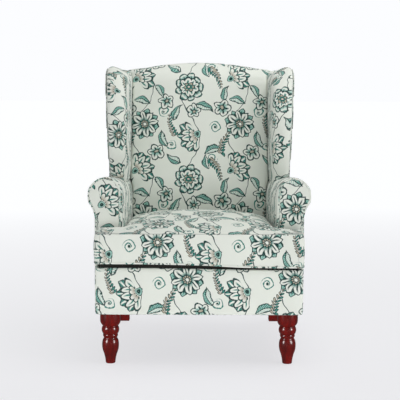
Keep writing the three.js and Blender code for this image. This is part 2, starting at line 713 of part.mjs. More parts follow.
const stump = (grow) => frontBoard(scrollOutline(facingInset + stumpInset - grow,
  railTop + seatGap - grow, facingTaper), stumpFrontY - grow, stumpThick + 2 * grow);

const facing = (grow) => frontBoard(scrollOutline(facingInset - grow, deckTop + seatGap - grow,
  facingTaper), armFrontY - grow, facingThick + 2 * grow, grow > 0 ? 0 : facingEdgeRadius);

function armRail(grow) {
  const [frontY, low, high] = [stumpBackY + seatGap - grow, armRailBottom - grow, armRailTop + grow];
  const outline = [[frontY, low], [postFrontY(low) - seatGap + 2 * grow, low],
    [postFrontY(high) - seatGap + 2 * grow, high], [frontY, high]];
  return sideBoard(polygon(outline), sideBoardInnerX - grow, sideBoardThick + 2 * grow);
}

// Front and top edge of a wing seen from the side, from the arm up and back to the rear
const wingSwellShares = [[0, 0], [-0.75, 0.16], [-1, 0.36], [-0.75, 0.58]]; // of the bulge, then height
const wingCurlShares = [[0.08, 0.78], [0.42, 0.93], [1, 1]]; // of the top's setback, then height
const wingEdgePoint = (y, up) =>
  new THREE.Vector3(0, y, mix(armTopHeight - armTopDrop, wingTopHeight, up));
const wingEdge = new THREE.CatmullRomCurve3([
  ...wingSwellShares.map(([forward, up]) => wingEdgePoint(wingFootY + forward * wingBulge, up)),
  ...wingCurlShares.map(([back, up]) => wingEdgePoint(wingFootY + back * wingTopSetback, up)),
], false, 'centripetal');
const wingTurnShares = [0.55, 0.95]; // of the edge: the stretch where its front turns into its top

function wingOutline(frontInset, topInset, footZ, rearY) {
  const steps = 14;
  const points = [];
  for (let i = 0; i <= steps; i += 1) {
    const share = i / steps;
    const place = wingEdge.getPoint(share);
    const along = wingEdge.getTangent(share);
    const inset = mix(frontInset, topInset, THREE.MathUtils.smoothstep(share, ...wingTurnShares));
    points.push([place.y + along.z * inset, place.z - along.y * inset]);
  }
  const rearTop = wingRearTopHeight - topInset;
  const [foot] = points;
  return [[foot[0], footZ], ...points, [rearY(rearTop), rearTop], [rearY(footZ), footZ]];
}

const wingFrame = (grow) => sideBoard(polygon(wingOutline(wingFrameInset - grow, wingFrameInset - grow,
  armRailTop + seatGap - grow, (z) => postFrontY(z) - seatGap + 2 * grow)),
sideBoardInnerX - grow, sideBoardThick + 2 * grow);

// Arched rail between the tops of the posts
function crestRail(grow) {
  const between = postInnerX - seatGap + grow;
  const shape = new THREE.Shape();
  shape.moveTo(-between, postTop - crestRailHeight - grow);
  shape.lineTo(between, postTop - crestRailHeight - grow);
  const steps = 12;
  for (let i = 0; i <= steps; i += 1) {
    const x = mix(between, -between, i / steps);
    const shoulder = wingRearTopHeight - wingInnerTopDrop - crestCover;
    const risen = Math.min(1, (between - Math.abs(x)) / crestRiseLength);
    const arch = (outsideTop(x) - crestCover - shoulder) * risen;
    shape.lineTo(x, shoulder + Math.max(0, arch) + grow);
  }
  shape.closePath();
  const rail = leaned(frontBoard(shape, postTopFrontY - grow, postDepth + 2 * grow), postSlope, postTop);
  return grow > 0 ? rail : cut(rail, outsideBackKeepOut());
}

// The space between the posts that pads keep out of, from the straps to the outside back
function backHollow() {
  const [low, high] = [railTop, postTop - crestRailHeight - seatGap];
  const face = postFrontY(low) - webThick - 2 * seatGap;
  const half = sideBoardInnerX - seatGap;
  return leaned(box(-half, half, face, face + postDepth + cutOverrun, low, high), postSlope, low);
}

function buildUpperFrame() {
  addPair('arm_stump', stump(0), frameWood);
  addPair('arm_rail', armRail(0), frameWood);
  addPair('back_post', post(0), frameWood);
  addPair('wing_frame', wingFrame(0), frameWood);
  const between = postInnerX - seatGap;
  addPiece('crest_rail', crestRail(0), frameWood);
  const tackBottom = deckTop + seatGap;
  const tack = leaned(box(-between, between, postFrontY(tackBottom), postFrontY(tackBottom) + railThick,
    tackBottom, tackBottom + tackRailHeight), postSlope, tackBottom);
  addPiece('back_tack_rail', tack, frameWood);
}

// Everything from the inner face of the outside back rearwards
function outsideBackKeepOut() {
  const face = outsideBackY(baseClearHeight) - outsideBackThick - seatGap;
  return leaned(box(-outsideArmHalfWidth, outsideArmHalfWidth, face, face + postDepth + cutOverrun,
    baseClearHeight, backTopHeight), outsideBackSlope, baseClearHeight);
}

// Elastic straps across the front of the back posts
function buildBackWebs() {
  const lowest = deckTop + tackRailHeight + webWidth;
  const highest = postTop - crestRailHeight - webWidth;
  for (let n = 0; n < webCount; n += 1) {
    const z = mix(lowest, highest, (n + 0.5) / webCount);
    const strap = leaned(box(-sideBoardInnerX + seatGap, sideBoardInnerX - seatGap,
      postFrontY(z) - webThick - seatGap, postFrontY(z) - seatGap, z - webWidth / 2, z + webWidth / 2),
    postSlope, z);
    addPiece(`back_web_${n + 1}`, strap, webbing);
  }
}

// Rolled arm: a pad on the inside that turns over the scroll and ends at the neck
const armStationShares = [0, 0.02, 0.15, 0.3, 0.45, 0.6, 0.8, 1];
const armRimShares = [1, 0.25]; // of the rim's inset, at the first stations
const scrollUnderShares = [0.45, 0.7]; // how far down to the neck the scroll's underside swings in
function armSection(y, shrink, hollow) {
  const share = (y - armPadFrontY) / (armPadRearY - armPadFrontY);
  const innerX = armInnerX(y) + shrink;
  const outerRear = outsideArmHalfWidth + armRearOverhang;
  const outerX = mix(headX + armHeadRadius, outerRear, share ** 2) - shrink;
  const topZ = armTopHeight - armTopDrop * share - shrink;
  const middleX = (innerX + outerX) / 2;
  const middleZ = armTopHeight - armTopDrop * share - armHeadRadius;
  const halfWidth = (outerX - innerX) / 2;
  const rise = topZ - middleZ;
  const neckX = outsideArmHalfWidth - (shrink > 0 ? shrink : 0);
  const points = [[innerX, deckBottom + (hollow ? 0 : -cutOverrun)]];
  const headSteps = 12;
  for (let i = 0; i <= headSteps; i += 1) {
    const angle = Math.PI * (1 - i / headSteps);
    points.push([middleX + halfWidth * Math.cos(angle), middleZ + rise * Math.sin(angle)]);
  }
  const [swingOut, swingIn] = scrollUnderShares.map((down) => mix(middleZ, armLipZ, down));
  const under = new THREE.CubicBezierCurve(
    new THREE.Vector2(outerX, middleZ), new THREE.Vector2(outerX, swingOut),
    new THREE.Vector2(neckX, swingIn), new THREE.Vector2(neckX, armLipZ));
  for (const p of under.getPoints(5).slice(1)) points.push([p.x, p.y]);
  if (hollow) {
    points.push([outsideArmInnerX, armLipZ], [innerX + armPadThick, armLipZ],
      [innerX + armPadThick, deckBottom]);
  } else {
    points.push([neckX, deckBottom - cutOverrun]);
  }
  return points;
}

function armLoft(grow, hollow) {
  const rings = armStationShares.map((share, i) => {
    const y = mix(armPadFrontY, armPadRearY, share);
    const shrink = (grow > 0 ? 0 : armRimInset * (armRimShares[i] ?? 0)) - grow;
    return armSection(y, shrink, hollow).map(([x, z]) => {
      const lean = share ** 2 * outsideBackSlope * (z - armLipZ);
      return new THREE.Vector3(x, y + lean, z);
    });
  });
  return loft(rings, (p) => [p.x, p.z]);
}

// Welt round the arm's facing, from its inner foot over the scroll to its outer foot
function armWelt(radius) {
  const outline = scrollOutline(facingInset, deckTop + seatGap + armWeltRadius, facingTaper).getPoints(8);
  const open = outline.slice(0, outline.length - 1);
  const path = open.map((p) => new THREE.Vector3(p.x, armFrontY + armWeltRadius, p.y));
  return tube(path, radius, 6, new THREE.Vector3(0, 1, 0));
}

function buildArms() {
  const weltSpace = armWelt(armWeltRadius + seatGap);
  addPair('arm_pad', cut(armLoft(0, true), stump(seatGap), facing(seatGap), armRail(seatGap),
    post(seatGap), wingFrame(seatGap), weltSpace, backHollow()), floralFabric);
  addPair('arm_facing', cut(facing(0), weltSpace), floralFabric);
  addPair('arm_welt', armWelt(armWeltRadius), floralFabric);
  const frontY = armPadFrontY + seatGap;
  const top = armLipZ - seatGap;
  const rear = (z) => outsideBackY(z) - outsideBackThick - seatGap;
  const panel = sideBoard(polygon([[frontY, baseClearHeight], [rear(baseClearHeight), baseClearHeight],
    [rear(top), top], [frontY, top]]), outsideArmInnerX, outsideArmHalfWidth - outsideArmInnerX,
  borderEdgeRadius);
  addPair('outside_arm', cut(panel, stump(seatGap), facing(seatGap), weltSpace), floralFabric);
}

// Wings: a thick padded border round a frame, with a thin outside panel
const wingStationShares = [0, 0.03, 0.12, 0.3, 0.5, 0.7, 0.88, 0.97, 1];
const outsidePanelInnerY = (z) => outsideBackY(z) - outsideBackThick - seatGap;

// Across a wing at a place on it, from its inner face to its outer one
function wingX(share, y, z) {
  const back = THREE.MathUtils.clamp((y - wingFootY) / (outsidePanelInnerY(z) - wingFootY), 0, 1);
  const up = (z - (armTopHeight - armTopDrop)) / (wingTopHeight - armTopHeight + armTopDrop);
  const outer = wingOuterFoot + wingFlare * up * (1 - back * back);
  return mix(mix(wingInnerFront, wingInnerRear, back), outer - outsideWingThick - seatGap, share);
}

function buildWings() {
  const footZ = armTopHeight - 2 * armTopDrop;
  const rings = wingStationShares.map((share) => {
    const edge = 1 - (1 - Math.abs(2 * share - 1) ** 3) ** (1 / 3);
    const drop = share < 0.5 ? wingInnerTopDrop : wingOuterTopDrop;
    return wingOutline(wingFrontRound * edge, drop * edge, footZ, outsidePanelInnerY)
      .map(([y, z]) => new THREE.Vector3(wingX(share, y, z), y, z));
  });
  const armSpace = armLoft(seatGap, false);
  const pad = cut(loft(rings, (p) => [p.y, p.z]), armSpace, wingFrame(seatGap), post(seatGap),
    backHollow(), crestRail(seatGap));
  addPair('wing_pad', pad, floralFabric);
  const panelOutline = wingOutline(wingFrontRound, wingOuterTopDrop, footZ, outsidePanelInnerY);
  const sheet = [0, 1].map((face) => panelOutline.map(([y, z]) => new THREE.Vector3(
    wingX(1, y, z) + seatGap + face * outsideWingThick, y, z)));
  addPair('outside_wing', cut(loft(sheet, (p) => [p.y, p.z]), armSpace), floralFabric);
}

// Top line of the inside back and of the outside back, across the chair
const backCornerPower = 12;   // how late the top line turns down at its corners
const backTop = (x) => backTopHeight - backArch * (x / backHalfWidth) ** 2
  - backCornerDrop * (x / backHalfWidth) ** backCornerPower;
const outsideTop = (x) => outsideShoulderHeight
  + outsideBackArch * Math.max(0, 1 - (x / backHalfWidth) ** 2);

const backStationShares = [-1, -0.985, -0.94, -0.85, -0.7, -0.5, -0.25, 0, 0.25, 0.5, 0.7, 0.85, 0.94,
  0.985, 1];
function backSection(share) {
  const x = share * backHalfWidth;
  const edge = 1 - (1 - Math.abs(share) ** 6) ** (1 / 3);
  const foot = deckTop + seatGap;
  const top = backTop(x);
  const lip = outsideTop(x);
  const rollFoot = top - backTopRound;
  const faceY = (z) => {
    const up = THREE.MathUtils.clamp((z - crownTop) / (rollFoot - crownTop), 0, 1);
    const crown = backCrown * (1 - share * share) * Math.sin(Math.PI * up);
    return insideBackY(z) + backSideRound * edge - crown;
  };
  const points = [];
  const steps = 7;
  for (let i = 0; i <= steps; i += 1) {
    const z = mix(foot, rollFoot, i / steps);
    points.push([faceY(z), z]);
  }
  const lipY = outsideBackY(lip);
  const crest = (8 * top - rollFoot - lip) / 6; // brings the middle of the roll up to the top line
  const roll = new THREE.CubicBezierCurve(new THREE.Vector2(faceY(rollFoot), rollFoot),
    new THREE.Vector2(faceY(rollFoot) + backCornerDrop, crest),
    new THREE.Vector2(lipY - backCornerDrop, crest), new THREE.Vector2(lipY, lip));
  for (const p of roll.getPoints(7).slice(1)) points.push([p.x, p.y]);
  const rearGap = webThick + 2 * seatGap;
  points.push([postFrontY(lip) - rearGap, lip]);
  for (let i = steps - 1; i >= 0; i -= 2) {
    const z = mix(foot, lip, i / steps);
    points.push([postFrontY(z) - rearGap, z]);
  }
  return points.map(([y, z]) => new THREE.Vector3(x, y, z));
}

function buildBack() {
  const pad = loft(backStationShares.map(backSection), (p) => [p.y, p.z]);
  const armSpace = armLoft(seatGap, false);
  addPiece('inside_back', cut(pad, armSpace, mirrored(armSpace)), floralFabric);
  const wingTop = wingRearTopHeight - wingOuterTopDrop;
  const neckTop = armTopHeight - armTopDrop;
  const rightSide = [[outsideArmHalfWidth, baseClearHeight], [outsideArmHalfWidth, neckTop - armHeadRadius],
    [wingOuterFoot, neckTop], [wingOuterFoot, wingTop]];
  const shape = new THREE.Shape();
  shape.moveTo(rightSide[0][0], rightSide[0][1]);
  for (const [x, z] of rightSide.slice(1)) shape.lineTo(x, z);
  const steps = 14;
  for (let i = 0; i <= steps; i += 1) {
    const x = mix(backHalfWidth, -backHalfWidth, i / steps);
    shape.lineTo(x, outsideTop(x) - outsideBackDrop);
  }
  for (const [x, z] of [...rightSide].reverse()) shape.lineTo(-x, z);
  shape.closePath();
  const sheet = frontBoard(shape, backFootY - outsideBackThick, outsideBackThick, outsideBackThick / 4);
  addPiece('outside_back', leaned(sheet, outsideBackSlope, baseClearHeight), floralFabric);
}

buildBaseFrame();
buildFrontLegs();
buildRearLegs();
buildGlides();
const springTop = buildSprings();
buildBaseCover();
buildDeck(springTop + springRise);
buildCushion();
buildUpperFrame();
buildBackWebs();
buildArms();
buildWings();
buildBack();

export default chair;
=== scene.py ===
# Wing armchair with rolled arms, a loose T-shaped seat cushion and turned front legs, in metres
import json
import math

import bpy
import numpy as np
from mathutils import Matrix, Vector


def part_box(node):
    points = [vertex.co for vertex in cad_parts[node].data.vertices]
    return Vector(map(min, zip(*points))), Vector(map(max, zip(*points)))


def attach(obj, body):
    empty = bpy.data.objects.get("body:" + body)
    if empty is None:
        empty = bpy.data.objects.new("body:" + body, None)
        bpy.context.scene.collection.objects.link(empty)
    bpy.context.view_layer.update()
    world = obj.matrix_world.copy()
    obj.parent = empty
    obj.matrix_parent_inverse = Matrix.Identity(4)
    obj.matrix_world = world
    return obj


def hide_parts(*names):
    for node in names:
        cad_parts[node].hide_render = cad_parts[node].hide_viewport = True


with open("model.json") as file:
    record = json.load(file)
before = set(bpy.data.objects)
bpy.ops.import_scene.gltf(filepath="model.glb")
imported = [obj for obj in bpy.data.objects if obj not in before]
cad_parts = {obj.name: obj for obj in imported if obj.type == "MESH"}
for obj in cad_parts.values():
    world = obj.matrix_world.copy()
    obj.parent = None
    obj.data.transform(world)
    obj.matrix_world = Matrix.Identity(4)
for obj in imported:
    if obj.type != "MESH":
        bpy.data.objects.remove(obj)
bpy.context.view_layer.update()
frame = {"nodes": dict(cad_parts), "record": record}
bpy.ops.object.select_all(action="DESELECT")
print("frame loaded")

# Camera at the photographed viewpoint
photoView = {
    "imageSize": 400,       # pixels
    "focalPixels": 1138.5,
    "height": 0.930,
    "distance": 4.0725,
    "pitch": 5.79,          # degrees down
    "roll": 0.2,
    "shift": 0.0015,        # of the image's width
    "sensor": 36.0,         # mm
}

cameraData = bpy.data.cameras.new("photoCamera")
cameraData.sensor_width = photoView["sensor"]
cameraData.lens = photoView["focalPixels"] * photoView["sensor"] / photoView["imageSize"]
camera = bpy.data.objects.new("photoCamera", cameraData)
cameraData.shift_x = photoView["shift"]
camera.location = (0, -photoView["distance"], photoView["height"])
camera.rotation_euler = (Matrix.Rotation(math.radians(90 - photoView["pitch"]), 3, "X")
                         @ Matrix.Rotation(math.radians(photoView["roll"]), 3, "Z")).to_euler()
bpy.context.scene.collection.objects.link(camera)
bpy.context.scene.camera = camera
print("camera set")


# Short ways to place shader nodes
def feed(tree, socket, value):
    if isinstance(value, bpy.types.NodeSocket):
        tree.links.new(value, socket)
    elif value is not None:
        socket.default_value = value


def addNode(tree, kind, inputs=(), **settings):
    node = tree.nodes.new(kind)
    for name, value in settings.items():
        setattr(node, name, value)
    for name, value in dict(inputs).items():
        feed(tree, node.inputs[name], value)
    return node


def calc(tree, operation, *values, clamp=False):
    node = addNode(tree, "ShaderNodeMath", operation=operation, use_clamp=clamp)
    for socket, value in zip(node.inputs, values):
        feed(tree, socket, value)
    return node.outputs[0]


def calcVector(tree, operation, *values):
    node = addNode(tree, "ShaderNodeVectorMath", operation=operation)
    for socket, value in zip(node.inputs, values):
        feed(tree, socket, value)
    return node.outputs["Value" if operation in ("LENGTH", "DOT_PRODUCT") else "Vector"]


def scaleVector(tree, vector, factor):
    return addNode(tree, "ShaderNodeVectorMath", {0: vector, "Scale": factor},
                   operation="SCALE").outputs[0]


def mixColour(tree, mask, under, over):
    return addNode(tree, "ShaderNodeMix", {0: mask, 6: under, 7: over}, data_type="RGBA").outputs[2]


# 0 below low, 1 above high, smooth between
def rise(tree, value, low, high):
    return addNode(tree, "ShaderNodeMapRange", {0: value, 1: low, 2: high, 3: 0.0, 4: 1.0},
                   interpolation_type="SMOOTHSTEP").outputs[0]


def inkLine(tree, distance, width, soft=0.0005, uneven=None):
    away = calc(tree, "ABSOLUTE", distance)
    if uneven is not None:
        away = calc(tree, "ADD", away, uneven)
    return rise(tree, away, width / 2 + soft, width / 2 - soft)


def within(tree, distance, soft=0.0005):
    return rise(tree, distance, soft, -soft)


def both(tree, *masks):
    result = masks[0]
    for mask in masks[1:]:
        result = calc(tree, "MULTIPLY", result, mask)
    return result


def either(tree, *masks):
    result = masks[0]
    for mask in masks[1:]:
        result = calc(tree, "MAXIMUM", result, mask)
    return result


def splitXY(tree, vector):
    node = addNode(tree, "ShaderNodeSeparateXYZ", {0: vector})
    return node.outputs[0], node.outputs[1]


# A colour as it is seen, 0 to 255, in the linear values that nodes take
def seen(red, green, blue):
    def linear(value):
        value /= 255
        return value / 12.92 if value <= 0.04045 else ((value + 0.055) / 1.055) ** 2.4
    return (linear(red), linear(green), linear(blue), 1.0)


def newGroup(name, inputs, outputs):
    tree = bpy.data.node_groups.new(name, "ShaderNodeTree")
    for title, kind in inputs:
        tree.interface.new_socket(title, in_out="INPUT", socket_type="NodeSocket" + kind)
    for title, kind in outputs:
        tree.interface.new_socket(title, in_out="OUTPUT", socket_type="NodeSocket" + kind)
    return tree, tree.nodes.new("NodeGroupInput").outputs, tree.nodes.new("NodeGroupOutput").inputs


def placeGroup(tree, group, **inputs):
    node = tree.nodes.new("ShaderNodeGroup")
    node.node_tree = group
    for name, value in inputs.items():
        feed(tree, node.inputs[name], value)
    return node.outputs


# The printed cotton: blossoms, leaves, curls and vines on a repeat that wraps both ways
printDesign = {
    "repeat": (0.357, 0.350),   # metres
    "scale": 1.06,          # of the motifs, within the same repeat
    "cream": seen(226, 230, 221),
    "ink": seen(3, 58, 54),
    "teal": seen(42, 122, 110),
    "mist": seen(146, 190, 178),
    "taupe": seen(176, 168, 150),
    "sand": seen(214, 209, 196),
}
repeatX, repeatY = printDesign["repeat"]


def makeNearestMotif():
    tree, given, out = newGroup("nearestMotif", [("Vector", "Vector"), ("Best", "Vector"), ("Centre", "Vector"),
                                                 ("Turn", "Float"), ("Zoom", "Float")], [("Best", "Vector")])
    offset = calcVector(tree, "SUBTRACT", given["Vector"], given["Centre"])
    offset = calcVector(tree, "WRAP", offset, (repeatX / 2, repeatY / 2, 1), (-repeatX / 2, -repeatY / 2, -1))
    turned = addNode(tree, "ShaderNodeVectorRotate", {"Vector": offset, "Angle": given["Turn"]},
                     rotation_type="Z_AXIS").outputs[0]
    local = scaleVector(tree, turned, given["Zoom"])
    nearer = calc(tree, "LESS_THAN", calcVector(tree, "LENGTH", local), calcVector(tree, "LENGTH", given["Best"]))
    pick = addNode(tree, "ShaderNodeMix", {0: nearer, 4: given["Best"], 5: local}, data_type="VECTOR")
    feed(tree, out["Best"], pick.outputs[1])
    return tree


nearestMotif = makeNearestMotif()


# Places of one motif: x, y in metres, turn in degrees, size
def motifSpots(tree, vector, spots):
    best = (1.0, 1.0, 0.0)
    for x, y, turn, size in spots:
        best = placeGroup(tree, nearestMotif, Vector=vector, Best=best, Centre=(x, y, 0),
                          Turn=math.radians(-turn), Zoom=1 / (size * printDesign["scale"]))["Best"]
    return best


def polar(tree, local):
    x, y = splitXY(tree, local)
    return calcVector(tree, "LENGTH", local), calc(tree, "ARCTAN2", y, x)


# Signed distance to the nearest of a ring of petals, pointed or round, with its position along the petal
def petalRing(tree, radius, angle, count, middle, length, width, pointed=0.0, turn=0.0):
    share = math.tau / count
    turned = calc(tree, "ADD", angle, share * (turn + 0.5) + math.tau)
    inSector = calc(tree, "SUBTRACT", calc(tree, "MODULO", turned, share), share / 2)
    along = calc(tree, "DIVIDE", calc(tree, "SUBTRACT", calc(tree, "MULTIPLY", radius,
                 calc(tree, "COSINE", inSector)), middle), length)
    across = calc(tree, "DIVIDE", calc(tree, "MULTIPLY", radius, calc(tree, "SINE", inSector)), width)
    if pointed:
        belly = calc(tree, "SUBTRACT", 1.0, calc(tree, "POWER", calc(tree, "ABSOLUTE", along), pointed))
        distance = calc(tree, "MULTIPLY", calc(tree, "SUBTRACT", calc(tree, "ABSOLUTE", across), belly), width * 0.8)
    else:
        reach = calc(tree, "SQRT", calc(tree, "ADD", calc(tree, "MULTIPLY", along, along),
                                        calc(tree, "MULTIPLY", across, across)))
        distance = calc(tree, "MULTIPLY", calc(tree, "SUBTRACT", reach, 1.0), min(length, width))
    return distance, along, across


def ringsMotif(name, build):
    tree, given, out = newGroup(name, [("Local", "Vector"), ("Wobble", "Float")],
                                [("Cover", "Float"), ("Colour", "Color")])
    cover, colour = build(tree, given["Local"], given["Wobble"])
    feed(tree, out["Cover"], cover)
    feed(tree, out["Colour"], colour)
    return tree


def paint(tree, under, *layers):
    for mask, tone in layers:
        under = mixColour(tree, mask, under, printDesign[tone] if isinstance(tone, str) else tone)
    return under


# Strokes that run up a petal from its foot
def petalStrokes(tree, across, along, waves, top, foot=-1.3):
    comb = calc(tree, "COSINE", calc(tree, "MULTIPLY", across, math.pi * waves))
    return both(tree, rise(tree, comb, 0.1, 0.5), rise(tree, along, top + 0.35, top - 0.35),
                rise(tree, along, foot, foot + 0.2))


# Three rings of round petals about a seeded heart
def drawRosette(tree, local, wobble):
    radius, angle = polar(tree, local)
    radius = calc(tree, "ADD", radius, wobble)
    outer, along, across = petalRing(tree, radius, angle, 9, 0.0365, 0.0150, 0.0135)
    middleRow, middleAlong, middleAcross = petalRing(tree, radius, angle, 9, 0.0225, 0.0120, 0.0098, turn=0.5)
    inner, innerAlong, _ = petalRing(tree, radius, angle, 6, 0.0115, 0.0075, 0.0062)
    heart = calc(tree, "SUBTRACT", radius, 0.0055)
    base = calc(tree, "SUBTRACT", radius, 0.0330)
    cover = either(tree, within(tree, calc(tree, "SUBTRACT", outer, 0.0015)), within(tree, base))
    colour = paint(tree, printDesign["ink"], (within(tree, outer), "cream"),
                   (both(tree, within(tree, outer), rise(tree, along, 0.45, -0.1)), "mist"),
                   (both(tree, within(tree, outer), rise(tree, along, 0.45, 0.75)), "teal"),
                   (both(tree, within(tree, outer), petalStrokes(tree, across, along, 2.2, 0.05)), "ink"),
                   (inkLine(tree, outer, 0.0042, uneven=wobble), "ink"),
                   (within(tree, middleRow), "cream"),
                   (both(tree, within(tree, middleRow), petalStrokes(tree, middleAcross, middleAlong, 1.6, 0.3)),
                    "teal"),
                   (inkLine(tree, middleRow, 0.0036, uneven=wobble), "ink"), (within(tree, inner), "taupe"),
                   (both(tree, within(tree, inner), rise(tree, innerAlong, 0.3, -0.3)), "teal"),
                   (inkLine(tree, inner, 0.0026), "ink"), (within(tree, heart), "sand"),
                   (inkLine(tree, heart, 0.0028), "ink"))
    return cover, colour


# Broad pointed petals over a darker row behind
def drawPointed(tree, local, wobble):
    radius, angle = polar(tree, local)
    radius = calc(tree, "ADD", radius, wobble)
    behind, behindAlong, behindAcross = petalRing(tree, radius, angle, 8, 0.0360, 0.0190, 0.0125,
                                                  pointed=2.0, turn=0.5)
    front, along, across = petalRing(tree, radius, angle, 8, 0.0280, 0.0215, 0.0135, pointed=2.3)
    heart = calc(tree, "SUBTRACT", radius, 0.0125)
    crown, _, _ = petalRing(tree, radius, angle, 10, 0.0120, 0.0045, 0.0036)
    eye = calc(tree, "SUBTRACT", radius, 0.0060)
    cover = either(tree, within(tree, calc(tree, "SUBTRACT", front, 0.0015)),
                   within(tree, calc(tree, "SUBTRACT", behind, 0.0015)))
    colour = paint(tree, printDesign["mist"],
                   (petalStrokes(tree, behindAcross, behindAlong, 2.4, 0.5), "teal"),
                   (inkLine(tree, behind, 0.0042, uneven=wobble), "ink"),
                   (within(tree, front), "cream"),
                   (both(tree, within(tree, front), rise(tree, along, 0.0, -0.6)), "teal"),
                   (both(tree, within(tree, front), petalStrokes(tree, across, along, 2.4, 0.45)), "ink"),
                   (inkLine(tree, front, 0.0042, uneven=wobble), "ink"), (within(tree, heart), "teal"),
                   (within(tree, crown), "taupe"), (inkLine(tree, crown, 0.0024), "ink"),
                   (within(tree, eye), "sand"), (inkLine(tree, eye, 0.0028), "ink"))
    return cover, colour


# A bloom seen from the side: petals fan out along +x from a cup
def drawCup(tree, local, wobble):
    foot = calcVector(tree, "ADD", local, (0.030, 0, 0))
    radius, angle = polar(tree, foot)
    radius = calc(tree, "ADD", radius, wobble)
    spread = calc(tree, "ABSOLUTE", angle)
    back, backAlong, backAcross = petalRing(tree, radius, angle, 12, 0.0520, 0.0230, 0.0140, pointed=2.4, turn=0.5)
    front, along, across = petalRing(tree, radius, angle, 12, 0.0400, 0.0230, 0.0125)
    near, nearAlong, _ = petalRing(tree, radius, angle, 12, 0.0250, 0.0120, 0.0076, turn=0.5)
    cup = calc(tree, "SUBTRACT", radius, 0.0125)
    inBack = rise(tree, spread, 1.08, 1.03)
    inFront = rise(tree, spread, 1.34, 1.29)
    backCover = both(tree, within(tree, calc(tree, "SUBTRACT", back, 0.0015)), inBack)
    frontCover = both(tree, within(tree, calc(tree, "SUBTRACT", front, 0.0015)), inFront)
    cover = either(tree, backCover, frontCover, within(tree, cup))
    colour = paint(tree, printDesign["teal"],
                   (petalStrokes(tree, backAcross, backAlong, 2.2, 0.8, -0.2), "cream"),
                   (inkLine(tree, back, 0.0042, uneven=wobble), "ink"), (frontCover, "cream"),
                   (both(tree, frontCover, petalStrokes(tree, across, along, 2.0, 0.4)), "teal"),
                   (both(tree, frontCover, inkLine(tree, front, 0.0042, uneven=wobble)), "ink"),
                   (both(tree, within(tree, near), inBack), "cream"),
                   (both(tree, within(tree, near), inBack, rise(tree, nearAlong, 0.7, -0.9)), "taupe"),
                   (both(tree, inkLine(tree, near, 0.0028), inBack), "ink"), (within(tree, cup), "mist"),
                   (both(tree, within(tree, cup), rise(tree, radius, 0.0075, 0.0060)), "ink"),
                   (inkLine(tree, cup, 0.0036), "ink"))
    return cover, colour


# A small open flower of five petals
def drawSmall(tree, local, wobble):
    radius, angle = polar(tree, local)
    radius = calc(tree, "ADD", radius, wobble)
    petals, along, across = petalRing(tree, radius, angle, 5, 0.0165, 0.0125, 0.0115)
    heart = calc(tree, "SUBTRACT", radius, 0.0062)
    cover = either(tree, within(tree, calc(tree, "SUBTRACT", petals, 0.0014)), within(tree, heart))
    colour = paint(tree, printDesign["cream"], (rise(tree, along, 0.1, -0.6), "mist"),
                   (petalStrokes(tree, across, along, 1.8, 0.2), "ink"),
                   (inkLine(tree, petals, 0.0042, uneven=wobble), "ink"), (within(tree, heart), "taupe"),
                   (inkLine(tree, heart, 0.0030), "ink"))
    return cover, colour


# A pointed leaf along x, hatched on one half, with a midrib and slanting veins
def drawLeaf(tree, local, wobble):
    x, y = splitXY(tree, local)
    y = calc(tree, "ADD", y, calc(tree, "MULTIPLY", calc(tree, "MULTIPLY", x, x), 8.0))
    along = calc(tree, "DIVIDE", x, 0.0310)
    taper = calc(tree, "SUBTRACT", 1.0, calc(tree, "MULTIPLY", along, along))
    belly = calc(tree, "MULTIPLY", taper, calc(tree, "SUBTRACT", 0.0125, calc(tree, "MULTIPLY", along, 0.0045)))
    edge = calc(tree, "SUBTRACT", calc(tree, "ABSOLUTE", y), calc(tree, "ADD", belly, wobble))
    veinWave = calc(tree, "SINE", calc(tree, "MULTIPLY", calc(tree, "SUBTRACT", x, calc(
        tree, "ABSOLUTE", y)), 1000))
    veins = both(tree, rise(tree, veinWave, 0.2, 0.6), rise(tree, y, 0.0, -0.001))
    dark = both(tree, rise(tree, veinWave, -0.3, 0.3), rise(tree, y, -0.0005, 0.0005))
    colour = paint(tree, printDesign["cream"], (rise(tree, y, -0.0005, 0.0005), "mist"), (veins, "mist"),
                   (dark, "teal"), (inkLine(tree, y, 0.0028), "ink"),
                   (inkLine(tree, edge, 0.0038, uneven=wobble), "ink"))
    return within(tree, calc(tree, "SUBTRACT", edge, 0.0014)), colour


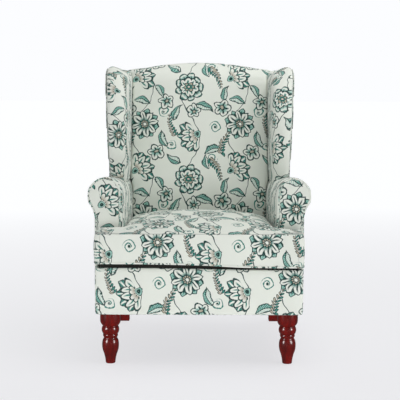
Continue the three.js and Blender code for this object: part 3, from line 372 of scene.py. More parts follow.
# A sprig of paired leaflets on a thin stem along x
def drawSprig(tree, local, wobble):
    x, y = splitXY(tree, local)
    y = calc(tree, "ADD", y, calc(tree, "MULTIPLY", calc(tree, "MULTIPLY", x, x), 5.0))
    spacing = 0.0110
    shrink = calc(tree, "SUBTRACT", 1.0, calc(tree, "MULTIPLY", calc(tree, "ADD", x, 0.045), 6.5))
    cell = calc(tree, "SUBTRACT", calc(tree, "MODULO", calc(tree, "ADD", x, 0.99), spacing), spacing / 2)
    side = calc(tree, "SUBTRACT", calc(tree, "ABSOLUTE", y), calc(tree, "MULTIPLY", shrink, 0.0090))
    slantX = calc(tree, "MULTIPLY", calc(tree, "ADD", cell, side), 0.7071)
    slantY = calc(tree, "MULTIPLY", calc(tree, "SUBTRACT", side, cell), 0.7071)
    longShare = calc(tree, "DIVIDE", slantX, calc(tree, "MULTIPLY", shrink, 0.0100))
    wideShare = calc(tree, "DIVIDE", slantY, calc(tree, "MULTIPLY", shrink, 0.0046))
    reach = calc(tree, "SQRT", calc(tree, "ADD", calc(tree, "MULTIPLY", longShare, longShare),
                                    calc(tree, "MULTIPLY", wideShare, wideShare)))
    leaflet = calc(tree, "MULTIPLY", calc(tree, "SUBTRACT", reach, 1.0), 0.0042)
    inLength = rise(tree, calc(tree, "ABSOLUTE", x), 0.0445, 0.0435)
    stem = inkLine(tree, y, 0.0022)
    cover = both(tree, inLength, either(tree, within(tree, calc(tree, "SUBTRACT", leaflet, 0.0008)), stem))
    colour = paint(tree, printDesign["teal"], (rise(tree, y, -0.0005, 0.0005), "taupe"),
                   (inkLine(tree, leaflet, 0.0024, uneven=wobble), "ink"), (stem, "ink"))
    return cover, colour


# A curling tendril that ends in a dot
def drawCurl(tree, local, wobble):
    radius, angle = polar(tree, local)
    turns = calc(tree, "DIVIDE", angle, math.tau)
    coil = calc(tree, "SUBTRACT", calc(tree, "DIVIDE", radius, 0.0110), turns)
    nearest = calc(tree, "SUBTRACT", calc(tree, "FRACT", coil), 0.5)
    line = inkLine(tree, calc(tree, "MULTIPLY", nearest, 0.0110), 0.0036, uneven=wobble)
    reach = both(tree, rise(tree, radius, 0.0202, 0.0192), rise(tree, radius, 0.0042, 0.0050))
    dot = within(tree, calc(tree, "SUBTRACT", radius, 0.0036))
    return either(tree, both(tree, line, reach), dot), paint(tree, printDesign["teal"], (dot, "ink"))


motifs = {
    "curl": (drawCurl, [(0.178, 0.098, 30, 1.0), (0.345, 0.158, 140, 1.1), (0.012, 0.030, -60, 0.9),
                        (0.170, 0.330, 200, 0.9)]),
    "leaf": (drawLeaf, [(0.030, 0.158, 60, 1.0), (0.142, 0.178, -25, 1.05), (0.338, 0.052, 110, 1.0),
                        (0.330, 0.240, -60, 0.9), (0.212, 0.228, 75, 0.95), (0.020, 0.325, 150, 0.95),
                        (0.172, 0.018, 15, 1.1), (0.262, 0.205, -15, 0.9), (0.140, 0.318, 100, 0.85)]),
    "sprig": (drawSprig, [(0.208, 0.040, 68, 1.0), (0.188, 0.290, -62, 1.0), (0.012, 0.105, 105, 0.9)]),
    "small": (drawSmall, [(0.205, 0.172, 0, 1.05), (0.352, 0.198, 30, 0.95), (0.098, 0.160, 12, 0.9),
                          (0.315, 0.006, 40, 1.0)]),
    "cup": (drawCup, [(0.262, 0.300, 25, 0.95), (0.085, 0.060, -160, 0.95)]),
    "pointed": (drawPointed, [(0.270, 0.112, 10, 0.98)]),
    "rosette": (drawRosette, [(0.080, 0.252, 0, 1.0)]),
}


# A vine that wanders up the cloth
def vineLine(tree, vector, middle, sway, waves, shift):
    x, y = splitXY(tree, vector)
    phase = calc(tree, "ADD", calc(tree, "MULTIPLY", y, math.tau * waves / repeatY), shift)
    course = calc(tree, "ADD", middle, calc(tree, "MULTIPLY", calc(tree, "SINE", phase), sway))
    offset = calc(tree, "SUBTRACT", x, course)
    offset = calc(tree, "WRAP", offset, repeatX / 2, -repeatX / 2)
    slope = calc(tree, "MULTIPLY", calc(tree, "COSINE", phase), sway * math.tau * waves / repeatY)
    steep = calc(tree, "SQRT", calc(tree, "ADD", 1.0, calc(tree, "MULTIPLY", slope, slope)))
    return inkLine(tree, calc(tree, "DIVIDE", offset, steep), 0.0024)


def makeFloralPrint():
    tree, given, out = newGroup("floralPrint", [("Vector", "Vector")], [("Colour", "Color"), ("Ink", "Float")])
    # the hand-drawn waver of the lines, the same in every repeat
    x, y = splitXY(tree, given["Vector"])
    waves = []
    for acrossWaves, upWaves, shift in ((5, 3, 0.4), (-3, 6, 2.1), (9, -4, 4.0), (4, 10, 5.2)):
        phase = calc(tree, "ADD", calc(tree, "MULTIPLY", x, math.tau * acrossWaves / repeatX),
                     calc(tree, "MULTIPLY", y, math.tau * upWaves / repeatY))
        waves.append(calc(tree, "SINE", calc(tree, "ADD", phase, shift)))
    drift = addNode(tree, "ShaderNodeCombineXYZ", {
        0: calc(tree, "ADD", calc(tree, "MULTIPLY", waves[0], 0.0022), calc(tree, "MULTIPLY", waves[3], 0.0013)),
        1: calc(tree, "ADD", calc(tree, "MULTIPLY", waves[1], 0.0022), calc(tree, "MULTIPLY", waves[2], 0.0013))})
    vector = calcVector(tree, "ADD", given["Vector"], drift.outputs[0])
    vector = calcVector(tree, "MULTIPLY", vector, (1, 1, 0))
    wobble = addNode(tree, "ShaderNodeTexNoise", {"Vector": given["Vector"], "Scale": 170.0, "Detail": 1.0})
    wobble = calc(tree, "MULTIPLY", calc(tree, "SUBTRACT", wobble.outputs[0], 0.5), 0.0042)
    vines = either(tree, vineLine(tree, vector, 0.085, 0.036, 1, 0.6), vineLine(tree, vector, 0.262, 0.042, 1, 3.4))
    colour = paint(tree, printDesign["cream"], (vines, "ink"))
    covered = vines
    for name, (draw, spots) in motifs.items():
        motif = ringsMotif(name + "Motif", draw)
        shown = placeGroup(tree, motif, Local=motifSpots(tree, vector, spots), Wobble=wobble)
        colour = mixColour(tree, shown["Cover"], colour, shown["Colour"])
        covered = either(tree, covered, shown["Cover"])
    # the print is a little dry, in fine slanting streaks
    streaks = addNode(tree, "ShaderNodeTexNoise", {"Vector": calcVector(
        tree, "MULTIPLY", addNode(tree, "ShaderNodeVectorRotate", {"Vector": given["Vector"], "Angle": 0.8},
                                  rotation_type="Z_AXIS").outputs[0], (520, 130, 1)), "Scale": 1.0, "Detail": 2.0})
    dry = calc(tree, "MULTIPLY", rise(tree, streaks.outputs[0], 0.54, 0.74), 0.35)
    colour = mixColour(tree, dry, colour, printDesign["cream"])
    feed(tree, out["Colour"], colour)
    feed(tree, out["Ink"], covered)
    return tree


floralPrint = makeFloralPrint()


# Plain weave: threads both ways with slubs, as a height from 0 to 1
def makeWeave():
    tree, given, out = newGroup("weave", [("Vector", "Vector"), ("Pitch", "Float")], [("Height", "Float")])
    x, y = splitXY(tree, given["Vector"])
    perMetre = calc(tree, "DIVIDE", math.pi, given["Pitch"])
    warp = calc(tree, "ABSOLUTE", calc(tree, "SINE", calc(tree, "MULTIPLY", x, perMetre)))
    weft = calc(tree, "ABSOLUTE", calc(tree, "SINE", calc(tree, "MULTIPLY", y, perMetre)))
    checker = calc(tree, "SINE", calc(tree, "MULTIPLY", x, calc(tree, "MULTIPLY", perMetre, 0.5)))
    checkerY = calc(tree, "SINE", calc(tree, "MULTIPLY", y, calc(tree, "MULTIPLY", perMetre, 0.5)))
    over = rise(tree, calc(tree, "MULTIPLY", checker, checkerY), -0.2, 0.2)
    threads = addNode(tree, "ShaderNodeMix", {0: over, 2: warp, 3: weft}).outputs[0]
    alongWarp = addNode(tree, "ShaderNodeTexNoise", {"Scale": 1.0, "Detail": 2.0, "Vector": calcVector(
        tree, "MULTIPLY", given["Vector"], (1100, 90, 1))}).outputs[0]
    alongWeft = addNode(tree, "ShaderNodeTexNoise", {"Scale": 1.0, "Detail": 2.0, "Vector": calcVector(
        tree, "MULTIPLY", given["Vector"], (90, 1100, 1))}).outputs[0]
    slubs = calc(tree, "MULTIPLY", calc(tree, "ADD", alongWarp, alongWeft), 0.5)
    feed(tree, out["Height"], calc(tree, "ADD", calc(tree, "MULTIPLY", threads, 0.45),
                                   calc(tree, "MULTIPLY", slubs, 0.9)))
    return tree


weave = makeWeave()


def newMaterial(name, **fixed):
    material = bpy.data.materials.new(name)
    material.use_nodes = True
    tree = material.node_tree
    shader = tree.nodes["Principled BSDF"]
    for socket, value in fixed.items():
        shader.inputs[socket.replace("_", " ")].default_value = value
    return material, tree, shader


# Seams are marked on a piece as 1 plus the distance to the seam, in metres
def seamMask(tree, width):
    mark = addNode(tree, "ShaderNodeAttribute", attribute_name="seamMark").outputs["Fac"]
    return rise(tree, calc(tree, "ABSOLUTE", calc(tree, "SUBTRACT", mark, 1.0)), width, width * 0.35)


clothFinish = {"threadPitch": 0.0010, "roughness": 0.88, "sheen": 0.25, "shadeVariation": 0.06}


def makeFloralCloth():
    material, tree, shader = newMaterial("floralCloth", Sheen_Weight=clothFinish["sheen"], Sheen_Roughness=0.5,
                                         Specular_IOR_Level=0.25)
    cloth = addNode(tree, "ShaderNodeUVMap", uv_map="clothMap").outputs[0]
    printed = placeGroup(tree, floralPrint, Vector=cloth)
    threads = placeGroup(tree, weave, Vector=cloth, Pitch=clothFinish["threadPitch"])["Height"]
    cloud = addNode(tree, "ShaderNodeTexNoise", {"Vector": cloth, "Scale": 7.0, "Detail": 3.0}).outputs[0]
    shade = calc(tree, "ADD", 1 - clothFinish["shadeVariation"], calc(
        tree, "MULTIPLY", cloud, 2 * clothFinish["shadeVariation"]))
    shade = calc(tree, "MULTIPLY", shade, calc(tree, "ADD", 0.94, calc(tree, "MULTIPLY", threads, 0.09)))
    seam = seamMask(tree, 0.0016)
    shade = calc(tree, "MULTIPLY", shade, calc(tree, "SUBTRACT", 1.0, calc(tree, "MULTIPLY", seam, 0.35)))
    toned = scaleVector(tree, printed["Colour"], shade)
    feed(tree, shader.inputs["Base Color"], toned)
    feed(tree, shader.inputs["Roughness"], calc(tree, "SUBTRACT", clothFinish["roughness"] + 0.04, calc(
        tree, "MULTIPLY", threads, 0.08)))
    fine = addNode(tree, "ShaderNodeBump", {"Height": threads, "Strength": 0.35, "Distance": 0.0006})
    ditch = addNode(tree, "ShaderNodeBump", {"Height": calc(tree, "SUBTRACT", 1.0, seam), "Strength": 0.8,
                                             "Distance": 0.0015, "Normal": fine.outputs[0]})
    feed(tree, shader.inputs["Normal"], ditch.outputs[0])
    return material


floralCloth = makeFloralCloth()


# Plain woven cloths on Object coordinates, with a painted shade along one edge where one is given
def plainCloth(name, tone, pitch, roughness, variation, paintedShadeEdge=None):
    material, tree, shader = newMaterial(name, Sheen_Weight=0.15, Specular_IOR_Level=0.2)
    place = addNode(tree, "ShaderNodeTexCoord").outputs["Object"]
    threads = placeGroup(tree, weave, Vector=place, Pitch=pitch)["Height"]
    cloud = addNode(tree, "ShaderNodeTexNoise", {"Vector": place, "Scale": 9.0, "Detail": 4.0}).outputs[0]
    shade = calc(tree, "ADD", 1 - variation, calc(tree, "MULTIPLY", calc(tree, "ADD", cloud, threads), variation))
    # painted shade: the colour darkens towards the edge, in place of the shadow that falls there
    if paintedShadeEdge:
        inside = rise(tree, splitXY(tree, place)[1], paintedShadeEdge["from"], paintedShadeEdge["to"])
        lit = calc(tree, "ADD", paintedShadeEdge["shade"], calc(tree, "MULTIPLY", inside, 1 - paintedShadeEdge["shade"]))
        shade = calc(tree, "MULTIPLY", shade, lit)
    feed(tree, shader.inputs["Base Color"], scaleVector(tree, tone[:3], shade))
    feed(tree, shader.inputs["Roughness"], calc(tree, "SUBTRACT", roughness + 0.05, calc(
        tree, "MULTIPLY", threads, 0.08)))
    feed(tree, shader.inputs["Normal"], addNode(tree, "ShaderNodeBump", {"Height": threads, "Strength": 0.4,
                                                                        "Distance": 0.0006}).outputs[0])
    return material


deckFrontPaintedShade = {"from": -0.350, "to": -0.335, "shade": 0.12}    # painted shade along the deck's front edge, standing in for the shadow in the recess under the cushion's lip
deckCloth = plainCloth("deckCloth", seen(112, 110, 102), 0.0012, 0.9, 0.10, paintedShadeEdge=deckFrontPaintedShade)
dustCloth = plainCloth("dustCloth", seen(44, 44, 46), 0.0009, 0.95, 0.16)
strapWebbing = plainCloth("strapWebbing", seen(196, 186, 158), 0.0022, 0.85, 0.14)


# Wood grain: its figure and its pores, each from 0 to 1, drawn out by the stretch
def makeWoodGrain():
    tree, given, out = newGroup("woodGrain", [("Vector", "Vector"), ("Stretch", "Vector")],
                                [("Figure", "Float"), ("Pores", "Float")])
    laid = calcVector(tree, "MULTIPLY", given["Vector"], given["Stretch"])
    figure = addNode(tree, "ShaderNodeTexNoise", {"Vector": laid, "Scale": 1.0, "Detail": 5.0,
                                                  "Distortion": 0.6}).outputs[0]
    pores = addNode(tree, "ShaderNodeTexNoise", {"Vector": scaleVector(tree, laid, 6.0), "Scale": 1.0,
                                                 "Detail": 3.0}).outputs[0]
    feed(tree, out["Figure"], rise(tree, figure, 0.3, 0.7))
    feed(tree, out["Pores"], rise(tree, pores, 0.55, 0.75))
    return tree


woodGrain = makeWoodGrain()


def wood(name, light, dark, stretch, roughness, poreDepth, **fixed):
    material, tree, shader = newMaterial(name, **fixed)
    place = addNode(tree, "ShaderNodeTexCoord").outputs["Object"]
    grain = placeGroup(tree, woodGrain, Vector=place, Stretch=stretch)
    colour = mixColour(tree, grain["Figure"], light, dark)
    colour = mixColour(tree, calc(tree, "MULTIPLY", grain["Pores"], 0.45), colour, dark)
    feed(tree, shader.inputs["Base Color"], colour)
    feed(tree, shader.inputs["Roughness"], calc(tree, "ADD", roughness, calc(tree, "MULTIPLY", grain["Figure"], 0.08)))
    feed(tree, shader.inputs["Normal"], addNode(tree, "ShaderNodeBump", {
        "Height": calc(tree, "SUBTRACT", 1.0, grain["Pores"]), "Strength": 0.15, "Distance": poreDepth}).outputs[0])
    return material


lacqueredWood = wood("lacqueredWood", seen(122, 16, 9), seen(86, 8, 5), (60, 60, 8), 0.26, 0.00005,
                     Coat_Weight=0.8, Coat_Roughness=0.09, Specular_IOR_Level=0.2)
frameWood = wood("frameWood", seen(206, 172, 124), seen(170, 130, 86), (12, 70, 70), 0.62, 0.0006)


def makeSpringSteel():
    material, tree, shader = newMaterial("springSteel", Metallic=1.0)
    place = addNode(tree, "ShaderNodeTexCoord").outputs["Object"]
    film = addNode(tree, "ShaderNodeTexNoise", {"Vector": place, "Scale": 60.0, "Detail": 4.0}).outputs[0]
    feed(tree, shader.inputs["Base Color"], mixColour(tree, rise(tree, film, 0.4, 0.7), seen(150, 150, 152),
                                                      seen(104, 100, 96)))
    feed(tree, shader.inputs["Roughness"], calc(tree, "ADD", 0.28, calc(tree, "MULTIPLY", film, 0.25)))
    return material


def makeNylon():
    material, tree, shader = newMaterial("nylon", Specular_IOR_Level=0.4)
    place = addNode(tree, "ShaderNodeTexCoord").outputs["Object"]
    film = addNode(tree, "ShaderNodeTexNoise", {"Vector": place, "Scale": 180.0, "Detail": 3.0}).outputs[0]
    feed(tree, shader.inputs["Base Color"], mixColour(tree, film, seen(52, 50, 48), seen(74, 72, 68)))
    feed(tree, shader.inputs["Roughness"], calc(tree, "ADD", 0.4, calc(tree, "MULTIPLY", film, 0.2)))
    return material


springSteel = makeSpringSteel()
nylon = makeNylon()
finishes = {"floral_fabric": floralCloth, "deck_fabric": deckCloth, "dust_cloth": dustCloth,
            "lacquered_wood": lacqueredWood, "frame_wood": frameWood, "webbing": strapWebbing,
            "spring_steel": springSteel, "nylon": nylon}
for part in frame["record"]["subparts"]:
    solid = frame["nodes"][part["node"]]
    solid.data.materials.clear()
    solid.data.materials.append(finishes[part["material_slot"]])
print("materials made")


# Working on one piece at a time
def choose(piece):
    bpy.ops.object.select_all(action="DESELECT")
    piece.select_set(True)
    bpy.context.view_layer.objects.active = piece


def applyModifier(piece, kind, **settings):
    choose(piece)
    modifier = piece.modifiers.new(kind.lower(), kind)
    for name, value in settings.items():
        setattr(modifier, name, value)
    bpy.ops.object.modifier_apply(modifier=modifier.name)


def getPoints(piece):
    points = np.empty(len(piece.data.vertices) * 3)
    piece.data.vertices.foreach_get("co", points)
    return points.reshape(-1, 3)


def setPoints(piece, points):
    piece.data.vertices.foreach_set("co", np.ascontiguousarray(points).ravel())
    piece.data.update()


def getNormals(piece):
    normals = np.empty(len(piece.data.vertices) * 3)
    piece.data.vertices.foreach_get("normal", normals)
    return normals.reshape(-1, 3)


def smoothStep(value, low, high):
    share = np.clip((value - low) / (high - low), 0, 1)
    return share * share * (3 - 2 * share)


# A soft piece starts from its solid: merged, made an even mesh, and rounded
def softCopy(node, name, voxel, rounds):
    mesh = frame["nodes"][node].data.copy()
    piece = bpy.data.objects.new(name, mesh)
    mesh.name = name
    mesh.materials.clear()
    bpy.context.scene.collection.objects.link(piece)
    choose(piece)
    bpy.ops.object.mode_set(mode="EDIT")
    bpy.ops.mesh.select_all(action="SELECT")
    bpy.ops.mesh.remove_doubles(threshold=0.00005)
    bpy.ops.object.mode_set(mode="OBJECT")
    applyModifier(piece, "REMESH", mode="VOXEL", voxel_size=voxel, use_smooth_shade=True)
    if rounds:
        applyModifier(piece, "SMOOTH", factor=0.5, iterations=rounds)
    fitToSolid(piece, node)
    return piece


# Rounding draws a piece in, so it is let out again to its solid's box
def fitToSolid(piece, node):
    low, high = (np.array(corner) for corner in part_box(node))
    points = getPoints(piece)
    was, top = points.min(axis=0), points.max(axis=0)
    setPoints(piece, low + (points - was) / (top - was) * (high - low))


# Filling: air pressure swells the cover between its held seams, and no point moves further than the cap
def inflate(piece, held, pressure, cap, stiffness=12.0, bending=0.6, frames=20):
    scene = bpy.context.scene
    start = getPoints(piece)
    group = piece.vertex_groups.new(name="held")
    for level in range(1, 11):
        share = level / 10
        chosen = np.nonzero(np.round(held * 10) == level)[0].tolist()
        if chosen:
            group.add(chosen, share, "REPLACE")
    choose(piece)
    modifier = piece.modifiers.new("cloth", "CLOTH")
    cloth = modifier.settings
    cloth.quality = 6
    cloth.mass = 0.2
    cloth.tension_stiffness = cloth.compression_stiffness = stiffness
    cloth.shear_stiffness = stiffness / 2
    cloth.bending_stiffness = bending
    cloth.use_pressure = True
    cloth.uniform_pressure_force = pressure
    cloth.vertex_group_mass = "held"
    cloth.effector_weights.gravity = 0
    modifier.collision_settings.use_collision = False
    modifier.collision_settings.use_self_collision = False
    modifier.point_cache.frame_start = 1
    modifier.point_cache.frame_end = frames
    for step in range(1, frames + 1):
        scene.frame_set(step)
    bpy.ops.object.modifier_apply(modifier=modifier.name)
    scene.frame_set(1)
    moved = getPoints(piece) - start
    far = np.linalg.norm(moved, axis=1)
    print(piece.name, "swelled", round(float(far.max()) * 1000, 1), "mm at most before the cap")
    setPoints(piece, start + moved * np.minimum(1, cap / np.maximum(far, 1e-9))[:, None])
    piece.vertex_groups.clear()


def addCloth(piece, material, corners, offset=(0.0, 0.0)):
    mesh = piece.data
    mesh.materials.clear()
    mesh.materials.append(material)
    while mesh.uv_layers:
        mesh.uv_layers.remove(mesh.uv_layers[0])
    layer = mesh.uv_layers.new(name="clothMap")
    vertexOf = np.empty(len(mesh.loops), dtype=np.int32)
    mesh.loops.foreach_get("vertex_index", vertexOf)
    sizes = np.empty(len(mesh.polygons), dtype=np.int32)
    mesh.polygons.foreach_get("loop_total", sizes)
    faces = np.empty(len(mesh.polygons) * 3)
    mesh.polygons.foreach_get("normal", faces)
    faces = np.repeat(faces.reshape(-1, 3), sizes, axis=0)
    laid = corners(getPoints(piece)[vertexOf], getNormals(piece)[vertexOf], faces) + np.array(offset)
    layer.data.foreach_set("uv", laid.ravel())


# Cloth laid flat on each side of a box: top and bottom by x, y; front by x, z; sides by y, z
def boxedCorners(points, normals, faces):
    x, y, z = points.T
    level = np.abs(faces[:, 2]) > 0.65
    front = ~level & (np.abs(faces[:, 1]) >= np.abs(faces[:, 0]))
    side = ~level & ~front
    across = np.where(side, np.where(x > 0, y, -y), x)
    up = np.where(level, y, z)
    return np.stack([across, up], axis=1)


# Length along a line of points, of the point on it that is nearest
def lengthAlong(across, up, line):
    line = np.array(line)
    best = np.full(len(across), 1e9)
    length = np.zeros(len(across))
    start = 0.0
    for (ax, ay), (bx, by) in zip(line[:-1], line[1:]):
        span = math.hypot(bx - ax, by - ay)
        share = ((across - ax) * (bx - ax) + (up - ay) * (by - ay)) / span ** 2
        share = np.clip(share, 0, 1)
        distance = np.hypot(across - ax - share * (bx - ax), up - ay - share * (by - ay))
        nearer = distance < best
        best = np.where(nearer, distance, best)
        length = np.where(nearer, start + share * span, length)
        start += span
    return length


def markSeam(piece, distance):
    mark = piece.data.attributes.new("seamMark", "FLOAT", "POINT")
    mark.data.foreach_set("value", (1 + distance).astype(np.float32))


def finishPiece(piece, body, slot, *nodes, fill=None):
    choose(piece)
    bpy.ops.object.shade_smooth()
    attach(piece, body)
    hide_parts(*nodes)
    print(piece.name, len(piece.data.polygons), "faces")


# Small gathers across a seam: along is the place on the seam, away the distance from it, in metres
def pucker(piece, along, away, depth=0.0011, reach=0.022):
    gathers = (np.sin(along * 310) + 0.7 * np.sin(along * 187 + 1.3) + 0.5 * np.sin(along * 531 + 4.0)) / 2.2
    fade = smoothStep(reach - away, 0, reach) * smoothStep(away, 0.001, 0.005)
    setPoints(piece, getPoints(piece) + getNormals(piece) * (depth * gathers * fade)[:, None])


def subdivide(piece):
    applyModifier(piece, "SUBSURF", levels=1, render_levels=1)


# Loose seat cushion
seatCushionSettings = {
    "voxel": 0.0075,
    "rounds": 2,
    "topSeam": 0.4432,      # height of the seam round the top panel
    "bottomSeam": 0.3515,
    "endSeam": 0.326,       # upright seams in the boxing, near the front corners
    "crown": 0.70,          # of the solid's crown, before the filling swells it
    "pressure": 4.0,
    "cap": 0.009,
    "stemHalf": 0.2588,     # half the width between the arms
    "earBack": -0.2440,
    "earLift": (0.006, 0.002),      # at the sitter's right and left
    "earLetOut": 0.009,     # share of the width
    "rest": 0.3442,         # height of its lowest point, on the deck
    "lipSag": (0.001, 0.008, 0.004),        # everywhere, towards the sitter's left, and more there
    "fill": 0.75,
}


# The front lip hangs over the deck's edge, further at the sitter's left
def sagLip(points):
    x, y, z = points.T
    level, lean, more = seatCushionSettings["lipSag"]
    sag = level + lean * smoothStep(x, -0.25, 0.30) + more * smoothStep(x, 0.0, 0.15)
    points[:, 2] -= sag * smoothStep(0.385 - z, 0, 0.03) * smoothStep(-y, 0.362, 0.372)


def makeSeatCushion():
    made = seatCushionSettings
    piece = softCopy("seat_cushion", "seatCushion", made["voxel"], made["rounds"])
    points = getPoints(piece)
    over = np.maximum(points[:, 2] - made["topSeam"], 0)
    points[:, 2] -= over * (1 - made["crown"])
    away = smoothStep(np.abs(points[:, 0]), 0.25, 0.285)
    lift = np.where(points[:, 0] < 0, *made["earLift"])
    points[:, 2] += lift * away * smoothStep(points[:, 1], -0.375, -0.29) * smoothStep(
        points[:, 2], 0.39, 0.44)
    points[:, 0] *= 1 + made["earLetOut"] * away
    setPoints(piece, points)
    toSeam = np.minimum(np.abs(points[:, 2] - made["topSeam"]), np.abs(points[:, 2] - made["bottomSeam"]))
    held = np.maximum(1 - smoothStep(toSeam, 0.003, 0.009), 1 - smoothStep(points[:, 2], 0.345, 0.348))
    inflate(piece, held, made["pressure"], made["cap"])
    points = getPoints(piece)
    stem = points[:, 1] > made["earBack"]
    points[stem, 0] = np.clip(points[stem, 0], -made["stemHalf"], made["stemHalf"])
    points[:, 2] = np.maximum(points[:, 2], made["rest"])
    sagLip(points)
    setPoints(piece, points)
    subdivide(piece)
    x, y, z = getPoints(piece).T
    pucker(piece, x + y, np.minimum(np.abs(z - made["topSeam"]), np.abs(z - made["bottomSeam"])))
    toEnd = np.where(y < -0.377, np.abs(np.abs(x) - made["endSeam"]), 0.5)
    markSeam(piece, np.minimum(np.where(z > 0.40, np.abs(z - made["topSeam"]), 0.5), toEnd))
    addCloth(piece, floralCloth, boxedCorners, (0.05, 0.045))
    finishPiece(piece, "cushion", "floral_fabric", "seat_cushion", fill=made["fill"])


makeSeatCushion()

# Welt round its lower edge, let out a little with the cushion's sides
cushionWeltSettings = {"voxel": 0.0025, "rounds": 2, "letOut": 1.006}


def makeCushionWelt():
    made = cushionWeltSettings
    welt = softCopy("cushion_welt", "cushionWelt", made["voxel"], made["rounds"])
    points = getPoints(welt)
    points[:, 0] *= made["letOut"]
    sagLip(points)
    setPoints(welt, points)
    addCloth(welt, floralCloth, boxedCorners, (0.05, 0.09))
    finishPiece(welt, "cushion", "floral_fabric", "cushion_welt")


makeCushionWelt()
print("cushion made")

# Inside back, wrapped over the crest
insideBackSettings = {
    "voxel": 0.008,
    "rounds": 3,
    "letOut": (1.020, 0.008),       # between the arms, and by how much less between the wings
    "lipDrop": 0.005,       # its rear lip comes down over the outside back
    "cornerReach": 0.028,   # its top corners reach over the crest rail's ends
    "cornerLift": 0.005,
    "pressure": 3.0,
    "cap": 0.004,
    "fill": 0.85,
}


def makeInsideBack():
    made = insideBackSettings
    piece = softCopy("inside_back", "insideBack", made["voxel"], made["rounds"])
    points = getPoints(piece)
    points[:, 0] *= made["letOut"][0] - made["letOut"][1] * smoothStep(points[:, 2], 0.63, 0.67)
    points[:, 2] -= made["lipDrop"] * smoothStep(points[:, 1], 0.350, 0.370)
    away, y, z = np.abs(points[:, 0]), points[:, 1], points[:, 2]
    corner = smoothStep(away, 0.20, 0.25) * smoothStep(y, 0.285, 0.325) * smoothStep(z, 0.88, 0.92)
    points[:, 0] += np.sign(points[:, 0]) * made["cornerReach"] * corner
    points[:, 2] += made["cornerLift"] * corner
    setPoints(piece, points)
    x, y, z = points.T
    held = np.maximum.reduce([smoothStep(np.abs(x), 0.235, 0.250), smoothStep(0.54 - z, 0, 0.04),
                              smoothStep(y, 0.30, 0.34)])
    inflate(piece, held, made["pressure"], made["cap"])
    subdivide(piece)
    line = [(0.1425, 0.344), (0.275, 0.945), (0.283, 0.975), (0.298, 0.998), (0.320, 1.010), (0.345, 1.012),
            (0.368, 1.003), (0.375, 0.975)]

    def corners(points, normals, faces):
        return np.stack([points[:, 0], lengthAlong(points[:, 1], points[:, 2], line)], axis=1)

    addCloth(piece, floralCloth, corners, (0.12, 0.02))
    finishPiece(piece, "chair", "floral_fabric", "inside_back", fill=made["fill"])


makeInsideBack()

# Wings and arms, once for each side
sidePieces = {
    "left": 1,      # the sitter's left is +x
    "right": -1,
    "voxel": 0.007,
    "wingRounds": 4,
    "armRounds": 7,
    # voxel and rounds of the thin pieces
    "wingCover": (0.005, 2),
    "facing": (0.0025, 3),
    "welt": (0.0016, 3),
    "armCover": (0.0045, 1),
    "pressure": 3.0,
    "cap": 0.003,
    "fill": 0.9,
    "coverFill": 0.95,      # of the thin outer covers
    "wingTopSlope": 0.016,
    "wingRearLift": 0.012,
    "wingRearReach": 0.004,
    "wingFootDrop": 0.012,
    "wingCoverDrop": 0.022,
    "armInnerShift": 0.0065,
    "armFall": (0.003, 0.007),      # at the front, and more towards the back
    "armFrontReach": 0.010,
    "armFrontEnd": -0.2407,
    "armWidest": 0.3785,
    "scrollCentre": (0.3155, 0.5600),
    "scrollRadius": 0.0545,
    "weltLift": 0.003,
    "facingDrop": (0.012, 0.010),       # inner part, and further in the outer part
    "coverProud": 0.005,
    "armCoverRise": (0.005, 0.009),     # of its top edge, and more at the front
    "armCoverReach": 0.0035,
}


# The scroll hangs fuller below its widest point: let-out outwards, in metres, by height
scrollLetOut = [(0.40, 0.0), (0.4735, 0.004), (0.5008, 0.009), (0.5246, 0.0115), (0.545, 0.0085), (0.565, 0.005),
                (0.585, 0.0025), (0.605, 0.0)]


def fillScroll(piece, lift=0.0):
    points = getPoints(piece)
    heights, lets = zip(*scrollLetOut)
    away = np.abs(points[:, 0])
    let = np.interp(points[:, 2], heights, lets) * smoothStep(away, 0.315, 0.345)
    points[:, 0] += np.sign(points[:, 0]) * let
    points[:, 0] = np.clip(points[:, 0], -sidePieces["armWidest"], sidePieces["armWidest"])
    points[:, 2] += lift * smoothStep(points[:, 2], 0.54, 0.60)
    setPoints(piece, points)


# The arm falls towards the back, and its inner side is flatter than the solid's
def settleArm(piece):
    points = getPoints(piece)
    away = np.abs(points[:, 0])
    inner = sidePieces["armInnerShift"] * smoothStep(0.262 - away, 0, 0.016) * smoothStep(points[:, 2], 0.345, 0.40)
    points[:, 0] += np.sign(points[:, 0]) * inner
    fall = sidePieces["armFall"][0] + sidePieces["armFall"][1] * smoothStep(points[:, 1], -0.215, 0.0)
    points[:, 2] -= fall * smoothStep(points[:, 2], 0.50, 0.60)
    # its front end goes under the facing
    points[:, 1] -= sidePieces["armFrontReach"] * smoothStep(-points[:, 1], 0.205, 0.230)
    points[:, 1] = np.maximum(points[:, 1], sidePieces["armFrontEnd"])
    setPoints(piece, points)


# The wing's top runs down from its outer half to the back
def slopeWingTop(piece):
    points = getPoints(piece)
    x, y, z = points.T
    inward = np.clip((0.316 - np.abs(x)) / 0.055, 0, 1) * smoothStep(0.30 - y, 0, 0.10)
    atBack = sidePieces["wingRearLift"] * smoothStep(y, 0.25, 0.31) * smoothStep(z, 0.86, 0.92)
    points[:, 2] += atBack - sidePieces["wingTopSlope"] * inward * smoothStep(z, 0.88, 0.975)
    setPoints(piece, points)


# Its rear end is held under the edge of the outside back
def reachBack(piece):
    points = getPoints(piece)
    points[:, 1] += sidePieces["wingRearReach"] * smoothStep(points[:, 1], 0.340, 0.360)
    setPoints(piece, points)


# Its foot comes down on the arm
def lowerFoot(piece, drop):
    points = getPoints(piece)
    points[:, 2] -= drop * smoothStep(0.66 - points[:, 2], 0, 0.06)
    setPoints(piece, points)


# The outer covers stand proud of the frame by some millimetres
def standProud(piece, inner, outer):
    points = getPoints(piece)
    out = sidePieces["coverProud"] * smoothStep(np.abs(points[:, 0]), inner, outer)
    points[:, 0] += np.sign(points[:, 0]) * out
    setPoints(piece, points)


